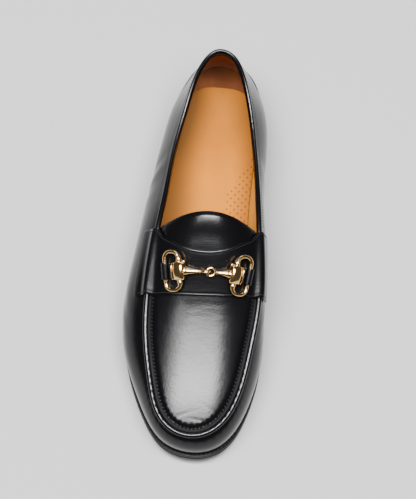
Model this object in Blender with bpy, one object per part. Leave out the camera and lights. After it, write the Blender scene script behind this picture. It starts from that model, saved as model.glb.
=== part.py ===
"""Bit loafer, right foot, standing empty on its sole.

Sizes are in millimetres in the shoe's own layout: X towards the inner (medial) side, Y from the toe tip
to the back of the heel, Z up from the floor. Points become metres when a mesh is made, and the whole shoe
is then set with the middle of its outline over the origin, toe towards -Y.
"""

import math
from collections import namedtuple

import bmesh
import bpy
import numpy as np
from mathutils import Matrix, Vector

MM = 0.001
GAP = 0.3

# Lengths along the shoe
SOLE_LENGTH = 303.5
RIM_TOE = 9.8
RIM_HEEL = 286.0
HEEL_BREAST = 228.0

# Thicknesses
OUTSOLE = 5.0
WELT = 3.0
WALL = 2.2
APRON = 1.8
SADDLE = 1.5
INSOLE_RISE = 1.6
SOCK = 1.0

# Footbed: how far the heel seat is cupped, how far its layers stand in, and where the sock lining ends
SEAT_CUP = 2.4
INSOLE_INSET = 0.25
SOCK_INSET = 1.3
SOCK_GAP = 0.4
SOCK_TAPER = 215.0
SOCK_BACK = 280.5
BED_COLUMNS = (0.2, 0.5, 0.8)

# The upper's rings, as shares up the wall outside and down it inside, and as angles round the bead
WALL_SHARES = (0.0, 0.1, 0.24, 0.4, 0.56, 0.72, 0.87, 1.0)
INNER_SHARES = (0.87, 0.66, 0.44, 0.22, 0.0)
BEAD_ANGLES = (10.0, 50.0, 90.0, 130.0, 168.0)
WALL_END_ANGLE = -25.0

# Raised seam beside the apron, which turns into the rolled collar behind COLLAR_START
BEAD_RADIUS = 2.1
GROOVE_REACH = 4.6
GROOVE_DEPTH = 0.9
COLLAR_START = 158.0
COLLAR_BLEND = 12.0
COLLAR_RADIUS = 1.4
COLLAR_TAPER = 70.0
COLLAR_REACH = 1.9
COLLAR_DROP = 0.9
COLLAR_LIP = (0.7, 3.4)
APRON_LIP = (2.3, 3.8)

# One row for each section of the last, from toe tip to heel. The sole and rim columns are distances from
# the long axis, rise is the rim's height above the floor, crown is the curvature across the apron, flare
# is how far the wall swells beyond its foot and lean how far it stands out under the rim.
Section = namedtuple(
    "Section",
    "sole_out sole_in margin rim_out rim_in rise_out rise_in crown flare_out flare_in lean_out lean_in",
)
SECTIONS = [
    Section(-1.0, -1.0, 3.0, -3.8, -3.8, 39.5, 39.5, 0.0070, 3.7, 3.7, 3.0, 3.0),
    Section(-20.6, 17.0, 3.0, -18.7, 11.0, 39.7, 39.7, 0.0068, 4.0, 3.8, 3.5, 3.3),
    Section(-34.0, 29.7, 2.8, -29.5, 23.0, 40.5, 40.6, 0.0065, 4.8, 4.6, 4.5, 4.0),
    Section(-45.3, 38.6, 2.6, -35.6, 30.8, 42.5, 43.0, 0.0061, 6.4, 5.4, 6.0, 4.6),
    Section(-54.5, 43.8, 2.3, -40.4, 35.7, 46.5, 47.5, 0.0064, 10.4, 5.4, 7.0, 5.0),
    Section(-56.0, 40.5, 2.0, -41.2, 38.9, 54.5, 56.0, 0.0080, 11.4, 5.4, 7.6, 4.2),
    Section(-48.0, 33.0, 1.6, -37.9, 36.5, 66.0, 67.5, 0.0132, 12.4, 12.8, 7.6, 3.6),
    Section(-41.5, 31.0, 1.5, -33.3, 33.4, 66.0, 68.0, 0.0200, 13.0, 11.6, 8.4, 3.6),
    Section(-37.0, 33.0, 1.6, -29.4, 29.5, 66.5, 68.0, 0.0200, 9.8, 12.2, 7.2, 6.0),
    Section(-34.0, 34.2, 2.0, -23.4, 24.6, 70.5, 71.5, 0.0200, 4.8, 8.0, 5.2, 6.8),
    Section(-25.2, 28.8, 2.6, -17.7, 18.5, 78.0, 78.0, 0.0200, 0.8, 1.2, 1.4, 3.0),
    Section(-14.6, 17.0, 3.0, -9.4, 10.7, 86.5, 86.0, 0.0200, 0.6, 0.6, 1.0, 1.8),
    Section(0.0, 0.0, 3.0, 0.0, 0.0, 88.5, 88.5, 0.0200, 2.2, 2.2, 2.6, 2.6),
]
ROUND = 2 * (len(SECTIONS) - 1)

# Underside of the outsole: toe spring, flat tread at the ball, arch, and the straight seat over the heel
TREAD = [
    (0.0, 9.0), (20.0, 5.0), (44.0, 1.6), (62.0, 0.3), (76.0, 0.0), (94.0, 0.0), (112.0, 0.0),
    (128.0, 1.0), (150.0, 4.4), (180.0, 10.2), (205.0, 14.6), (228.0, 18.0),
]
SEAT_SLOPE = 0.04

# Heel: a rubber top piece and three leather lifts, set in from the sole's edge and tapering down
TOP_PIECE = 6.0
LIFTS = (10.4, 14.6)
HEEL_INSET = 0.6
HEEL_TAPER = 0.06
BREAST_HOLLOW = 3.0

# Saddle strap over the instep, its edges as parabolas across the apron, tilted a little to the inner side
SADDLE_FRONT = 106.0
SADDLE_FRONT_SWEEP = 2.8
SADDLE_BACK = 135.6
SADDLE_BACK_SWEEP = 18.5
SADDLE_TILT = 1.1
SADDLE_EASE = 0.2
TONGUE_REACH = 4.8
TONGUE_START = 4.4
TONGUE_CORNER = 25
APRON_COLUMNS = np.array([0.045, 0.13, 0.25, 0.375, 0.5, 0.625, 0.75, 0.87, 0.955])
RING_STEPS = 96
SOLE_STEPS = 88

# Snaffle bit, its length lying across the saddle. One row a side: the middles of its eye and its barrel.
BIT_LINE = 122.8
BIT_SIDES = {"outer": (-1, -0.45, -17.4), "inner": (1, 2.8, 18.4)}
EYE_RADIUS = 2.9
EYE_WIRE = 0.8
EYE_LIFT = 4.1
BAR_TIP = 1.1
BAR_ROOT = 2.9
BARREL_LIFT = 5.1
BARREL_PROFILE = [(-6.4, 3.5), (-5.4, 4.3), (-2.5, 4.0), (0.0, 4.7), (2.5, 4.0), (5.4, 4.3), (6.4, 3.5)]
RING_WIRE = 1.4
RING_LENGTH = 27.6
RING_WIDTH = 12.0
RING_SHOULDER = 5.2
RUN_LIFT = 2.6
LOOP_WIDTH = 12.0
LOOP_SKIN = 1.0
LOOP_FOOT = 4.4
LOOP_LIFT = 0.7

BLACK_LEATHER = ("black_leather", (0.012, 0.012, 0.013), 0.22, 0.0)
BLACK_EDGE = ("black_edge", (0.015, 0.013, 0.012), 0.42, 0.0)
SOLE_LEATHER = ("sole_leather", (0.34, 0.19, 0.09), 0.6, 0.0)
RUBBER = ("heel_rubber", (0.02, 0.02, 0.02), 0.7, 0.0)
BROWN_LINING = ("brown_lining", (0.19, 0.07, 0.025), 0.8, 0.0)
TAN_LINING = ("tan_lining", (0.72, 0.42, 0.19), 0.6, 0.0)
GOLD = ("gold_metal", (0.83, 0.58, 0.27), 0.18, 1.0)


def closed_spline(values):
    """A smooth periodic cubic through evenly spaced values, as a function of the ring position."""
    values = np.asarray(values, float)
    count = len(values)
    push = 6.0 * (np.roll(values, 1) - 2.0 * values + np.roll(values, -1))
    stiffness = 4.0 + 2.0 * np.cos(2.0 * math.pi * np.arange(count) / count)
    bend = np.real(np.fft.ifft(np.fft.fft(push) / stiffness))

    def curve(at):
        at = np.asarray(at, float) % count
        low = np.floor(at).astype(int) % count
        high = (low + 1) % count
        b = at - np.floor(at)
        a = 1.0 - b
        return a * values[low] + b * values[high] + ((a**3 - a) * bend[low] + (b**3 - b) * bend[high]) / 6.0

    return curve


def open_spline(points):
    """A natural cubic through a few (along, height) points."""
    along, height = (np.array(c, float) for c in zip(*points))
    h = np.diff(along)
    count = len(along)
    system = np.eye(count)
    right = np.zeros(count)
    for i in range(1, count - 1):
        system[i, i - 1 : i + 2] = h[i - 1], 2.0 * (h[i - 1] + h[i]), h[i]
        right[i] = 6.0 * ((height[i + 1] - height[i]) / h[i] - (height[i] - height[i - 1]) / h[i - 1])
    bend = np.linalg.solve(system, right)

    def curve(at):
        at = np.asarray(at, float)
        i = np.clip(np.searchsorted(along, at) - 1, 0, count - 2)
        b = (at - along[i]) / h[i]
        a = 1.0 - b
        arch = ((a**3 - a) * bend[i] + (b**3 - b) * bend[i + 1]) * h[i] ** 2 / 6.0
        return a * height[i] + b * height[i + 1] + arch

    return curve


def ring_column(outer, inner):
    """A closed curve from two section columns: the outer side from toe to heel, the inner side back."""
    down = [getattr(s, outer) for s in SECTIONS]
    back = [getattr(s, inner) for s in SECTIONS]
    return closed_spline(down + back[-2:0:-1])


SOLE_X = ring_column("sole_out", "sole_in")
MARGIN = ring_column("margin", "margin")
RIM_X = ring_column("rim_out", "rim_in")
RIM_Z = ring_column("rise_out", "rise_in")
CROWN = ring_column("crown", "crown")
FLARE = ring_column("flare_out", "flare_in")
LEAN = ring_column("lean_out", "lean_in")
TREAD_CURVE = open_spline(TREAD)


def along_ring(at, start, end):
    """Distance along the shoe for a ring position: a cosine, so both ends come out round."""
    return start + (end - start) * (1.0 - np.cos(2.0 * math.pi * np.asarray(at) / ROUND)) / 2.0


def ring_at(y, start, end):
    """The ring position on the outer side whose distance along the shoe is y."""
    share = np.clip((np.asarray(y, float) - start) / (end - start), 0.0, 1.0)
    return ROUND * np.arccos(1.0 - 2.0 * share) / (2.0 * math.pi)


def tread(y):
    """Height of the outsole's underside above the floor: flat at the ball, straight over the heel."""
    y = np.asarray(y, float)
    curved = np.maximum(TREAD_CURVE(np.minimum(y, HEEL_BREAST)), 0.0)
    flat = (y > 76.0) & (y < 112.0)
    seat = TREAD[-1][1] + SEAT_SLOPE * (y - HEEL_BREAST)
    return np.where(y > HEEL_BREAST, seat, np.where(flat, 0.0, curved))


def plan_normals(points):
    """Outward unit normals of a closed plan curve."""
    step = np.roll(points, -1, 0) - np.roll(points, 1, 0)
    normal = np.stack([step[:, 1], -step[:, 0]], 1)
    normal /= np.linalg.norm(normal, axis=1)[:, None]
    middle = points.mean(0)
    return normal if ((points - middle) * normal).sum() > 0 else -normal


def sole_edge(at):
    return np.stack([SOLE_X(at), along_ring(at, 0.0, SOLE_LENGTH)], 1)


def rim(at):
    return np.stack([RIM_X(at), along_ring(at, RIM_TOE, RIM_HEEL)], 1)


def top_height(x, y):
    """Height of the apron over a plan point: a parabola across, from rim to rim."""
    at = ring_at(y, RIM_TOE, RIM_HEEL)
    left, right = RIM_X(at), RIM_X(ROUND - at)
    share = (x - left) / np.maximum(right - left, 1e-6)
    base = RIM_Z(at) + (RIM_Z(ROUND - at) - RIM_Z(at)) * share
    return base + CROWN(at) * (right - left) ** 2 * share * (1.0 - share)


def top_normal(x, y):
    """Unit normal of the apron surface, from small steps along and across."""
    step = 0.05
    dx = (top_height(x + step, y) - top_height(x - step, y)) / (2 * step)
    dy = (top_height(x, y + step) - top_height(x, y - step)) / (2 * step)
    normal = np.stack([-dx, -dy, np.ones_like(dx)], -1)
    return normal / np.linalg.norm(normal, axis=-1)[..., None]


def smooth(share):
    share = np.clip(share, 0.0, 1.0)
    return share * share * (3.0 - 2.0 * share)


def raised(plan, height):
    """Plan points with a height, as points in space."""
    return np.concatenate([plan, np.broadcast_to(height, plan.shape[:1])[:, None]], 1)


class Last:
    """The upper's lines at a set of ring positions: its foot on the welt, its wall and its rim."""

    def __init__(self, at):
        self.at = np.asarray(at, float)
        fine = np.arange(0.0, ROUND, 0.02)
        self.foot_out = self._normals_at(sole_edge(fine), fine)
        self.rim_out = self._normals_at(rim(fine), fine)
        foot = sole_edge(self.at) - self.foot_out * MARGIN(self.at)[:, None]
        self.foot = raised(foot, tread(foot[:, 1]) + OUTSOLE + WELT + GAP)
        self.rim = raised(rim(self.at), RIM_Z(self.at))
        narrowing = smooth((self.rim[:, 1] - COLLAR_START) / COLLAR_TAPER)
        self.bead = BEAD_RADIUS + (COLLAR_RADIUS - BEAD_RADIUS) * narrowing

    def _normals_at(self, points, fine):
        normals = plan_normals(points)
        both = [np.interp(self.at, fine, normals[:, k], period=ROUND) for k in range(2)]
        joined = np.stack(both, 1)
        return joined / np.linalg.norm(joined, axis=1)[:, None]

    def around_rim(self, reach, angle):
        """Points at a distance from the rim line, turned by angle in degrees from outwards towards up."""
        turn = math.radians(angle)
        reach = np.broadcast_to(reach, self.at.shape)
        side = self.rim_out * (reach * math.cos(turn))[:, None]
        return self.rim + raised(side, reach * math.sin(turn))

    def wall(self, share):
        """Bezier curve from the foot, swelling by flare, to just under the bead, standing out by lean."""
        start = self.foot
        end = self.around_rim(self.bead, WALL_END_ANGLE)
        tall = (end - start)[:, 2]
        first = start + raised(self.foot_out * FLARE(self.at)[:, None], 0.34 * tall)
        second = end + raised(self.rim_out * LEAN(self.at)[:, None], -0.30 * tall)
        a, b = 1.0 - share, share
        return a**3 * start + 3 * a * a * b * first + 3 * a * b * b * second + b**3 * end

    def wall_normal(self, share):
        """Unit normals of the wall, from neighbouring walls and a small step up."""
        step = 0.02
        ahead, behind = Last(self.at + step), Last(self.at - step)
        along = ahead.wall(share) - behind.wall(share)
        up = self.wall(min(share + step, 1.0)) - self.wall(max(share - step, 0.0))
        normal = np.cross(along, up)
        normal /= np.linalg.norm(normal, axis=1)[:, None]
        facing = (normal[:, :2] * self.foot_out).sum(1)
        return normal * np.sign(facing)[:, None]


def new_object(name, mesh, finish):
    """Links a mesh as a named part with its material, smooth except at sharp edges."""
    slot, colour, roughness, metallic = finish
    material = bpy.data.materials.get(slot)
    if material is None:
        material = bpy.data.materials.new(slot)
        material.use_nodes = True
        shader = material.node_tree.nodes["Principled BSDF"]
        shader.inputs["Base Color"].default_value = (*colour, 1.0)
        shader.inputs["Roughness"].default_value = roughness
        shader.inputs["Metallic"].default_value = metallic
    mesh.materials.append(material)
    mesh.shade_smooth()
    mesh.set_sharp_from_angle(angle=math.radians(40.0))
    part = bpy.data.objects.new(name, mesh)
    SHOE.objects.link(part)
    return part


def loft(name, points, faces, finish):
    """A closed solid from points in millimetres and faces, with every face turned outwards."""
    bm = bmesh.new()
    verts = [bm.verts.new(Vector(p) * MM) for p in points]
    for face in faces:
        bm.faces.new([verts[i] for i in face])
    bmesh.ops.recalc_face_normals(bm, faces=bm.faces)
    mesh = bpy.data.meshes.new(name)
    bm.to_mesh(mesh)
    bm.free()
    return new_object(name, mesh, finish)


def upper_rings(last):
    """The upper's ring lines in order round the wall: outer wall, bead, groove, lip, inner wall."""
    rings = [last.wall(s) for s in WALL_SHARES]
    rings += [last.around_rim(last.bead, a) for a in BEAD_ANGLES]

    # The bead ends in a groove beside the apron, and rolls over to the lining along the collar
    front = smooth((COLLAR_START - last.rim[:, 1]) / COLLAR_BLEND)
    reach = COLLAR_REACH + (GROOVE_REACH - COLLAR_REACH) * front
    plan = last.rim[:, :2] - last.rim_out * reach[:, None]
    seam = top_height(plan[:, 0], plan[:, 1]) - GROOVE_DEPTH
    roll = last.rim[:, 2] - COLLAR_DROP
    groove = raised(plan, roll + (seam - roll) * front)
    inset, drop = (c + (a - c) * front for c, a in zip(COLLAR_LIP, APRON_LIP))
    lip = raised(last.rim[:, :2] - last.rim_out * inset[:, None], last.rim[:, 2] - drop)

    inner = [last.wall(s) - last.wall_normal(s) * WALL for s in INNER_SHARES]
    inner[-1][:, 2] = last.foot[:, 2]
    return rings + [groove, lip] + inner


def apron_row(left, right, reach):
    """One row across the apron between two groove points, bowed towards the heel by reach."""
    x = left[0] + (right[0] - left[0]) * APRON_COLUMNS
    y = left[1] + (right[1] - left[1]) * APRON_COLUMNS + reach * 4.0 * APRON_COLUMNS * (1.0 - APRON_COLUMNS)
    top = np.stack([x, y, top_height(x, y)], 1)
    return top, top - [0.0, 0.0, 1.0] * (APRON / top_normal(x, y)[:, 2])[:, None]


def upper():
    """The hollow upper: side wall, raised seam, apron with its tongue, and the same shape inside."""
    steps = RING_STEPS
    at = np.arange(steps) * ROUND / steps
    rings = upper_rings(Last(at))
    points = [p for ring in rings for p in ring]
    groove_row = len(WALL_SHARES) + len(BEAD_ANGLES)
    groove = rings[groove_row]
    faces = []
    for row in range(len(rings)):
        below = (row + 1) % len(rings)
        for i in range(steps):
            ahead = (i + 1) % steps
            beside_apron = not TONGUE_CORNER <= i < steps - TONGUE_CORNER
            if row == groove_row and beside_apron:
                continue
            faces.append((row * steps + i, row * steps + ahead, below * steps + ahead, below * steps + i))

    # The apron: rows across from groove to groove, top and underside, with the tongue's convex edge
    top_rows, under_rows = [], []
    for i in range(1, TONGUE_CORNER + 1):
        reach = TONGUE_REACH * smooth((at[i] - TONGUE_START) / (at[TONGUE_CORNER] - TONGUE_START))
        for rows, row in zip((top_rows, under_rows), apron_row(groove[i], groove[steps - i], reach)):
            rows.append(len(points))
            points.extend(row)
    count = len(APRON_COLUMNS)

    def row_indices(rows, ring, i):
        if i == 0:
            return [ring * steps] * (count + 2)
        middle = [rows[i - 1] + k for k in range(count)]
        return [ring * steps + i] + middle + [ring * steps + steps - i]

    for rows, ring in ((top_rows, groove_row), (under_rows, groove_row + 1)):
        for i in range(TONGUE_CORNER):
            low, high = row_indices(rows, ring, i), row_indices(rows, ring, i + 1)
            for k in range(count + 1):
                corners = [low[k], low[k + 1], high[k + 1], high[k]]
                faces.append(tuple(dict.fromkeys(corners)))
    edge_top = row_indices(top_rows, groove_row, TONGUE_CORNER)
    edge_under = row_indices(under_rows, groove_row + 1, TONGUE_CORNER)
    for k in range(count + 1):
        faces.append((edge_top[k], edge_top[k + 1], edge_under[k + 1], edge_under[k]))
    return loft("upper", points, faces, BLACK_LEATHER)


def slab(name, outline, columns, low, high, finish):
    """A sheet of rows across between mirrored outline points, its faces at the heights low and high."""
    half = len(outline) // 2
    shares = np.array([0.0, *columns, 1.0])[:, None]
    points, faces, top, under = [], [], [], []
    for i in range(half + 1):
        left, right = outline[i], outline[-i]
        row = left[None, :] if i in (0, half) else left + (right - left) * shares
        for rows, level in ((top, high), (under, low)):
            rows.append(range(len(points), len(points) + len(row)))
            points.extend(raised(row, level(row[:, 0], row[:, 1])))
    for rows in (top, under):
        for a, b in zip(rows, rows[1:]):
            for k in range(len(shares) - 1):
                near = [a[min(k, len(a) - 1)], a[min(k + 1, len(a) - 1)]]
                far = [b[min(k + 1, len(b) - 1)], b[min(k, len(b) - 1)]]
                faces.append(tuple(dict.fromkeys(near + far)))
    for i in range(half):
        for end in (0, -1):
            faces.append((top[i][end], top[i + 1][end], under[i + 1][end], under[i][end]))
    return loft(name, points, faces, finish)


def outsole():
    """Leather outsole from toe to heel seat, its face following toe spring, ball, arch and seat."""
    outline = sole_edge(np.arange(SOLE_STEPS) * ROUND / SOLE_STEPS)
    return slab("outsole", outline, (), lambda x, y: tread(y), lambda x, y: tread(y) + OUTSOLE, SOLE_LEATHER)


def welt():
    """Flat leather strip round the whole edge, under the wall's foot, with a rounded outer face."""
    steps = SOLE_STEPS
    at = np.arange(steps) * ROUND / steps
    last = Last(at)
    edge = sole_edge(at)
    inside = last.foot[:, :2] - last.foot_out * (WALL + 0.2)
    profile = [
        (edge - last.foot_out * 0.9, OUTSOLE + GAP),
        (edge - last.foot_out * 0.3, OUTSOLE + GAP + 0.9),
        (edge - last.foot_out * 0.3, OUTSOLE + WELT - 0.8),
        (edge - last.foot_out * 0.9, OUTSOLE + WELT),
        (inside, OUTSOLE + WELT),
        (inside, OUTSOLE + GAP),
    ]
    points = [p for plan, lift in profile for p in raised(plan, tread(plan[:, 1]) + lift)]
    faces = []
    for row in range(len(profile)):
        below = (row + 1) % len(profile)
        for i in range(steps):
            ahead = (i + 1) % steps
            faces.append((row * steps + i, row * steps + ahead, below * steps + ahead, below * steps + i))
    return loft("welt", points, faces, BLACK_EDGE)


def footbed(x, y):
    """Height of the insole's face: the seat's edges turn up a little behind the arch."""
    at = ring_at(y, 0.0, SOLE_LENGTH)
    middle = (SOLE_X(at) + SOLE_X(ROUND - at)) / 2.0
    cup = SEAT_CUP * smooth((y - 215.0) / 55.0) * ((x - middle) / 30.0) ** 2
    return tread(y) + OUTSOLE + WELT + INSOLE_RISE + cup


def footbed_outline(inset):
    """Outline inside the wall, inset from its inner face at the foot."""
    last = Last(np.arange(SOLE_STEPS) * ROUND / SOLE_STEPS)
    return last.foot[:, :2] - last.foot_out * (WALL + GAP + inset)


def insole():
    """Insole board inside the wall, filling down to the outsole within the welt."""
    outline = footbed_outline(INSOLE_INSET)
    return slab("insole", outline, BED_COLUMNS, lambda x, y: tread(y) + OUTSOLE + GAP, footbed, BROWN_LINING)


def sock():
    """Tan sock lining over the insole, cut round and a little short at the back."""
    outline = footbed_outline(SOCK_INSET)
    share = (outline[:, 1] - SOCK_TAPER) / (outline[:, 1].max() - SOCK_TAPER)
    pulled = SOCK_TAPER + (SOCK_BACK - SOCK_TAPER) * share
    outline[:, 1] = np.where(share > 0.0, pulled, outline[:, 1])
    under, over = lambda x, y: footbed(x, y) + SOCK_GAP, lambda x, y: footbed(x, y) + SOCK_GAP + SOCK
    return slab("sock_lining", outline, BED_COLUMNS, under, over, TAN_LINING)


def heel_outline(inset):
    """Closed plan outline of the heel: the sole's edge behind a hollow breast line."""
    start = ring_at(HEEL_BREAST, 0.0, SOLE_LENGTH)
    at = np.linspace(start, ROUND - start, 41)
    last = Last(at)
    edge = sole_edge(at) - last.foot_out * inset
    share = np.linspace(0.0, 1.0, 9)[1:-1]
    breast = edge[-1] + (edge[0] - edge[-1]) * share[:, None]
    breast[:, 1] += BREAST_HOLLOW * 4.0 * share * (1.0 - share)
    return np.concatenate([edge, breast])


def heel_layer(name, low, high, finish, slope=0.0):
    """One layer of the heel, narrowing towards the floor; slope is how fast its top rises to the back."""
    seat = TREAD[-1][1]
    points = []
    for level, rise in ((low, 0.0), (high, slope)):
        plan = heel_outline(HEEL_INSET + HEEL_TAPER * (seat - level))
        points.extend(raised(plan, level + rise * (plan[:, 1] - HEEL_BREAST)))
    count = len(points) // 2
    sides = [(i, (i + 1) % count, count + (i + 1) % count, count + i) for i in range(count)]
    faces = sides + [tuple(range(count)), tuple(range(count, 2 * count))]
    return loft(name, points, faces, finish)


def heel():
    """Rubber top piece on the floor and the leather lifts above it, the last one up to the sloping seat."""
    heel_layer("heel_top_piece", 0.0, TOP_PIECE, RUBBER)
    below = (TOP_PIECE, *LIFTS)
    tops = (*LIFTS, TREAD[-1][1] - 1.5 * GAP)
    slopes = (0.0, 0.0, SEAT_SLOPE)
    for number, (low, high, slope) in enumerate(zip(below, tops, slopes), 1):
        heel_layer(f"heel_lift_{number}", low + GAP, high, BLACK_EDGE, slope)


def saddle_edges(share):
    """Front and back edges of the saddle along the shoe, for a share across from -1 to 1."""
    tilt = SADDLE_TILT * share
    front = SADDLE_FRONT + SADDLE_FRONT_SWEEP * share**2 + tilt
    back = SADDLE_BACK + SADDLE_BACK_SWEEP * share**2 + tilt
    return front, back


def saddle():
    """The strap over the instep: across the apron, over both raised seams and a little down each wall."""
    rows = np.linspace(0.0, 1.0, 7)
    sides = []
    for share in (-1.0, 1.0):
        front, back = saddle_edges(share)
        at = ring_at(front + (back - front) * rows, RIM_TOE, RIM_HEEL)
        sides.append(Last(at if share < 0.0 else ROUND - at))
    shares = np.array([-0.88, -0.72, -0.5, -0.25, 0.0, 0.25, 0.5, 0.72, 0.88])

    def layer(lift):
        """Points of one face of the strap: lift is its height over the upper."""
        columns = []
        for last in sides:
            column = [last.wall(s) + last.wall_normal(s) * (lift + SADDLE_EASE) for s in (0.84, 0.92)]
            over_bead = last.bead + lift + SADDLE_EASE
            column += [last.around_rim(over_bead, a) for a in (5.0, 45.0, 85.0, 120.0)]
            columns.append(column)
        middle = []
        for share in shares:
            low, high = saddle_edges(share)
            y = low + (high - low) * rows
            at = ring_at(y, RIM_TOE, RIM_HEEL)
            x = RIM_X(at) + (RIM_X(ROUND - at) - RIM_X(at)) * (1.0 + share) / 2.0
            normal = top_normal(x, y)
            middle.append(np.stack([x, y, top_height(x, y)], 1) + normal * (lift + SADDLE_EASE))
        return columns[0] + middle + columns[1][::-1]

    under, over = layer(GAP), layer(GAP + SADDLE)
    width, length = len(under), len(rows)
    points = [p for face in (under, over) for column in face for p in column]
    faces = []
    for side in range(2):
        for c in range(width - 1):
            for r in range(length - 1):
                first = side * width * length + c * length + r
                faces.append((first, first + 1, first + length + 1, first + length))
    far = width * length
    for c in range(width - 1):
        for r in (0, length - 1):
            first = c * length + r
            faces.append((first, first + length, far + first + length, far + first))
    for r in range(length - 1):
        for c in (0, width - 1):
            first = c * length + r
            faces.append((first, first + 1, far + first + 1, far + first))
    return loft("saddle_strap", points, faces, BLACK_LEATHER)


def on_saddle(x, lift):
    """A point over the saddle's face on the bit's line, at x across."""
    spot, y = np.array([x]), np.array([BIT_LINE])
    height = float(top_height(spot, y)[0])
    return Vector((x, BIT_LINE, height)) + saddle_normal(x) * (GAP + SADDLE + lift)


def saddle_normal(x):
    return Vector(top_normal(np.array([x]), np.array([BIT_LINE]))[0])


def frame(origin, across, along):
    """A placement at origin with X across, Y along and Z square to both."""
    turn = Matrix((across, along, across.cross(along))).transposed().to_4x4()
    return Matrix.Translation(origin * MM) @ turn


def ring_frame(side, barrel_x):
    """Placement of a ring: from its barrel, X pointing down to where the loop holds its outer run."""
    start = on_saddle(barrel_x, BARREL_LIFT)
    across = (on_saddle(barrel_x + side * RING_WIDTH, RUN_LIFT) - start).normalized()
    return frame(start, across, saddle_normal(barrel_x).cross(across).normalized())


def turned(bm, profile, matrix, segments):
    """A ring of revolution about the local Y axis, from a closed (along, radius) profile."""
    rings = []
    for k in range(segments):
        angle = 2.0 * math.pi * k / segments
        spin = [Vector((r * math.sin(angle), y, r * math.cos(angle))) * MM for y, r in profile]
        rings.append([bm.verts.new(matrix @ p) for p in spin])
    for a, b in zip(rings, rings[1:] + rings[:1]):
        for k in range(len(profile)):
            ahead = (k + 1) % len(profile)
            bm.faces.new((a[k], a[ahead], b[ahead], b[k]))


def wire_ring(bm, radius, wire, matrix, segments, sides):
    """A round eye: a torus lying in the local XY plane."""
    rings = []
    for k in range(segments):
        angle = 2.0 * math.pi * k / segments
        out = Vector((math.cos(angle), math.sin(angle), 0.0))
        ring = []
        for s in range(sides):
            turn = 2.0 * math.pi * s / sides
            offset = out * (radius + wire * math.cos(turn)) + Vector((0.0, 0.0, wire * math.sin(turn)))
            ring.append(bm.verts.new(matrix @ (offset * MM)))
        rings.append(ring)
    for a, b in zip(rings, rings[1:] + rings[:1]):
        for s in range(sides):
            ahead = (s + 1) % sides
            bm.faces.new((a[s], a[ahead], b[ahead], b[s]))


def mesh_from(name, make):
    bm = bmesh.new()
    make(bm)
    bmesh.ops.recalc_face_normals(bm, faces=bm.faces)
    mesh = bpy.data.meshes.new(name)
    bm.to_mesh(mesh)
    bm.free()
    return mesh


def helper_object(name, mesh):
    tool = bpy.data.objects.new(name, mesh)
    TOOLS.objects.link(tool)
    tool.hide_render = True
    tool.display_type = "WIRE"
    return tool


def join_to(part, tool):
    """Boolean union of a helper shape into a part."""
    union = part.modifiers.new(tool.name, "BOOLEAN")
    union.operation = "UNION"
    union.object = tool


def bit_half(name, side, eye_x, barrel_x):
    """One half of the snaffle: an eye at the middle, a flaring bar and the barrel that holds the ring."""
    ring = ring_frame(side, barrel_x)
    bore = RING_WIRE + GAP
    ends = [(BARREL_PROFILE[-1][0], bore), (BARREL_PROFILE[0][0], bore)]
    barrel = mesh_from("barrel", lambda bm: turned(bm, BARREL_PROFILE + ends, ring, 16))
    part = new_object(f"bit_bar_{name}", barrel, GOLD)

    eye_centre, barrel_centre = on_saddle(eye_x, EYE_LIFT), on_saddle(barrel_x, BARREL_LIFT)
    out = (barrel_centre - eye_centre).normalized()
    start, end = eye_centre + out * EYE_RADIUS, barrel_centre - out * (RING_WIRE + GAP + 0.6)
    middle = Matrix.Translation((start + end) / 2.0 * MM) @ out.to_track_quat("Z", "Y").to_matrix().to_4x4()
    length = (end - start).length * MM

    def cone(bm):
        sizes = {"radius1": BAR_TIP * MM, "radius2": BAR_ROOT * MM, "depth": length, "segments": 12}
        bmesh.ops.create_cone(bm, cap_ends=True, matrix=middle, **sizes)

    join_to(part, helper_object(f"bar_{name}", mesh_from("bar", cone)))
    lay = frame(eye_centre, out, saddle_normal(eye_x).cross(out).normalized())
    if side < 0:
        lay = lay @ Matrix.Rotation(math.radians(90.0), 4, "X")
    eye = mesh_from("eye", lambda bm: wire_ring(bm, EYE_RADIUS, EYE_WIRE, lay, 18, 6))
    join_to(part, helper_object(f"eye_{name}", eye))
    return part


def bit_ring(name, side, barrel_x):
    """D-shaped ring: a straight run through the barrel, round shoulders and the run under the loop."""
    shoulder = RING_SHOULDER
    far, end = RING_WIDTH - shoulder, RING_LENGTH / 2.0 - shoulder
    corners = [(far, end), (shoulder, end), (shoulder, -end), (far, -end)]
    path = []
    for quarter, (x, y) in enumerate(corners):
        for step in range(6):
            turn = math.radians(90.0 * quarter + 18.0 * step)
            path.append((x + shoulder * math.cos(turn), y + shoulder * math.sin(turn)))
    curve = bpy.data.curves.new(f"bit_ring_{name}", "CURVE")
    curve.dimensions = "3D"
    curve.bevel_depth = RING_WIRE * MM
    curve.bevel_resolution = 2
    spline = curve.splines.new("POLY")
    spline.points.add(len(path) - 1)
    for point, (x, y) in zip(spline.points, path):
        point.co = (x * MM, y * MM, 0.0, 1.0)
    spline.use_cyclic_u = True
    tube = bpy.data.objects.new("tube", curve)
    mesh = bpy.data.meshes.new_from_object(tube)
    bpy.data.objects.remove(tube)
    mesh.transform(ring_frame(side, barrel_x))
    return new_object(f"bit_ring_{name}", mesh, GOLD)


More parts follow.
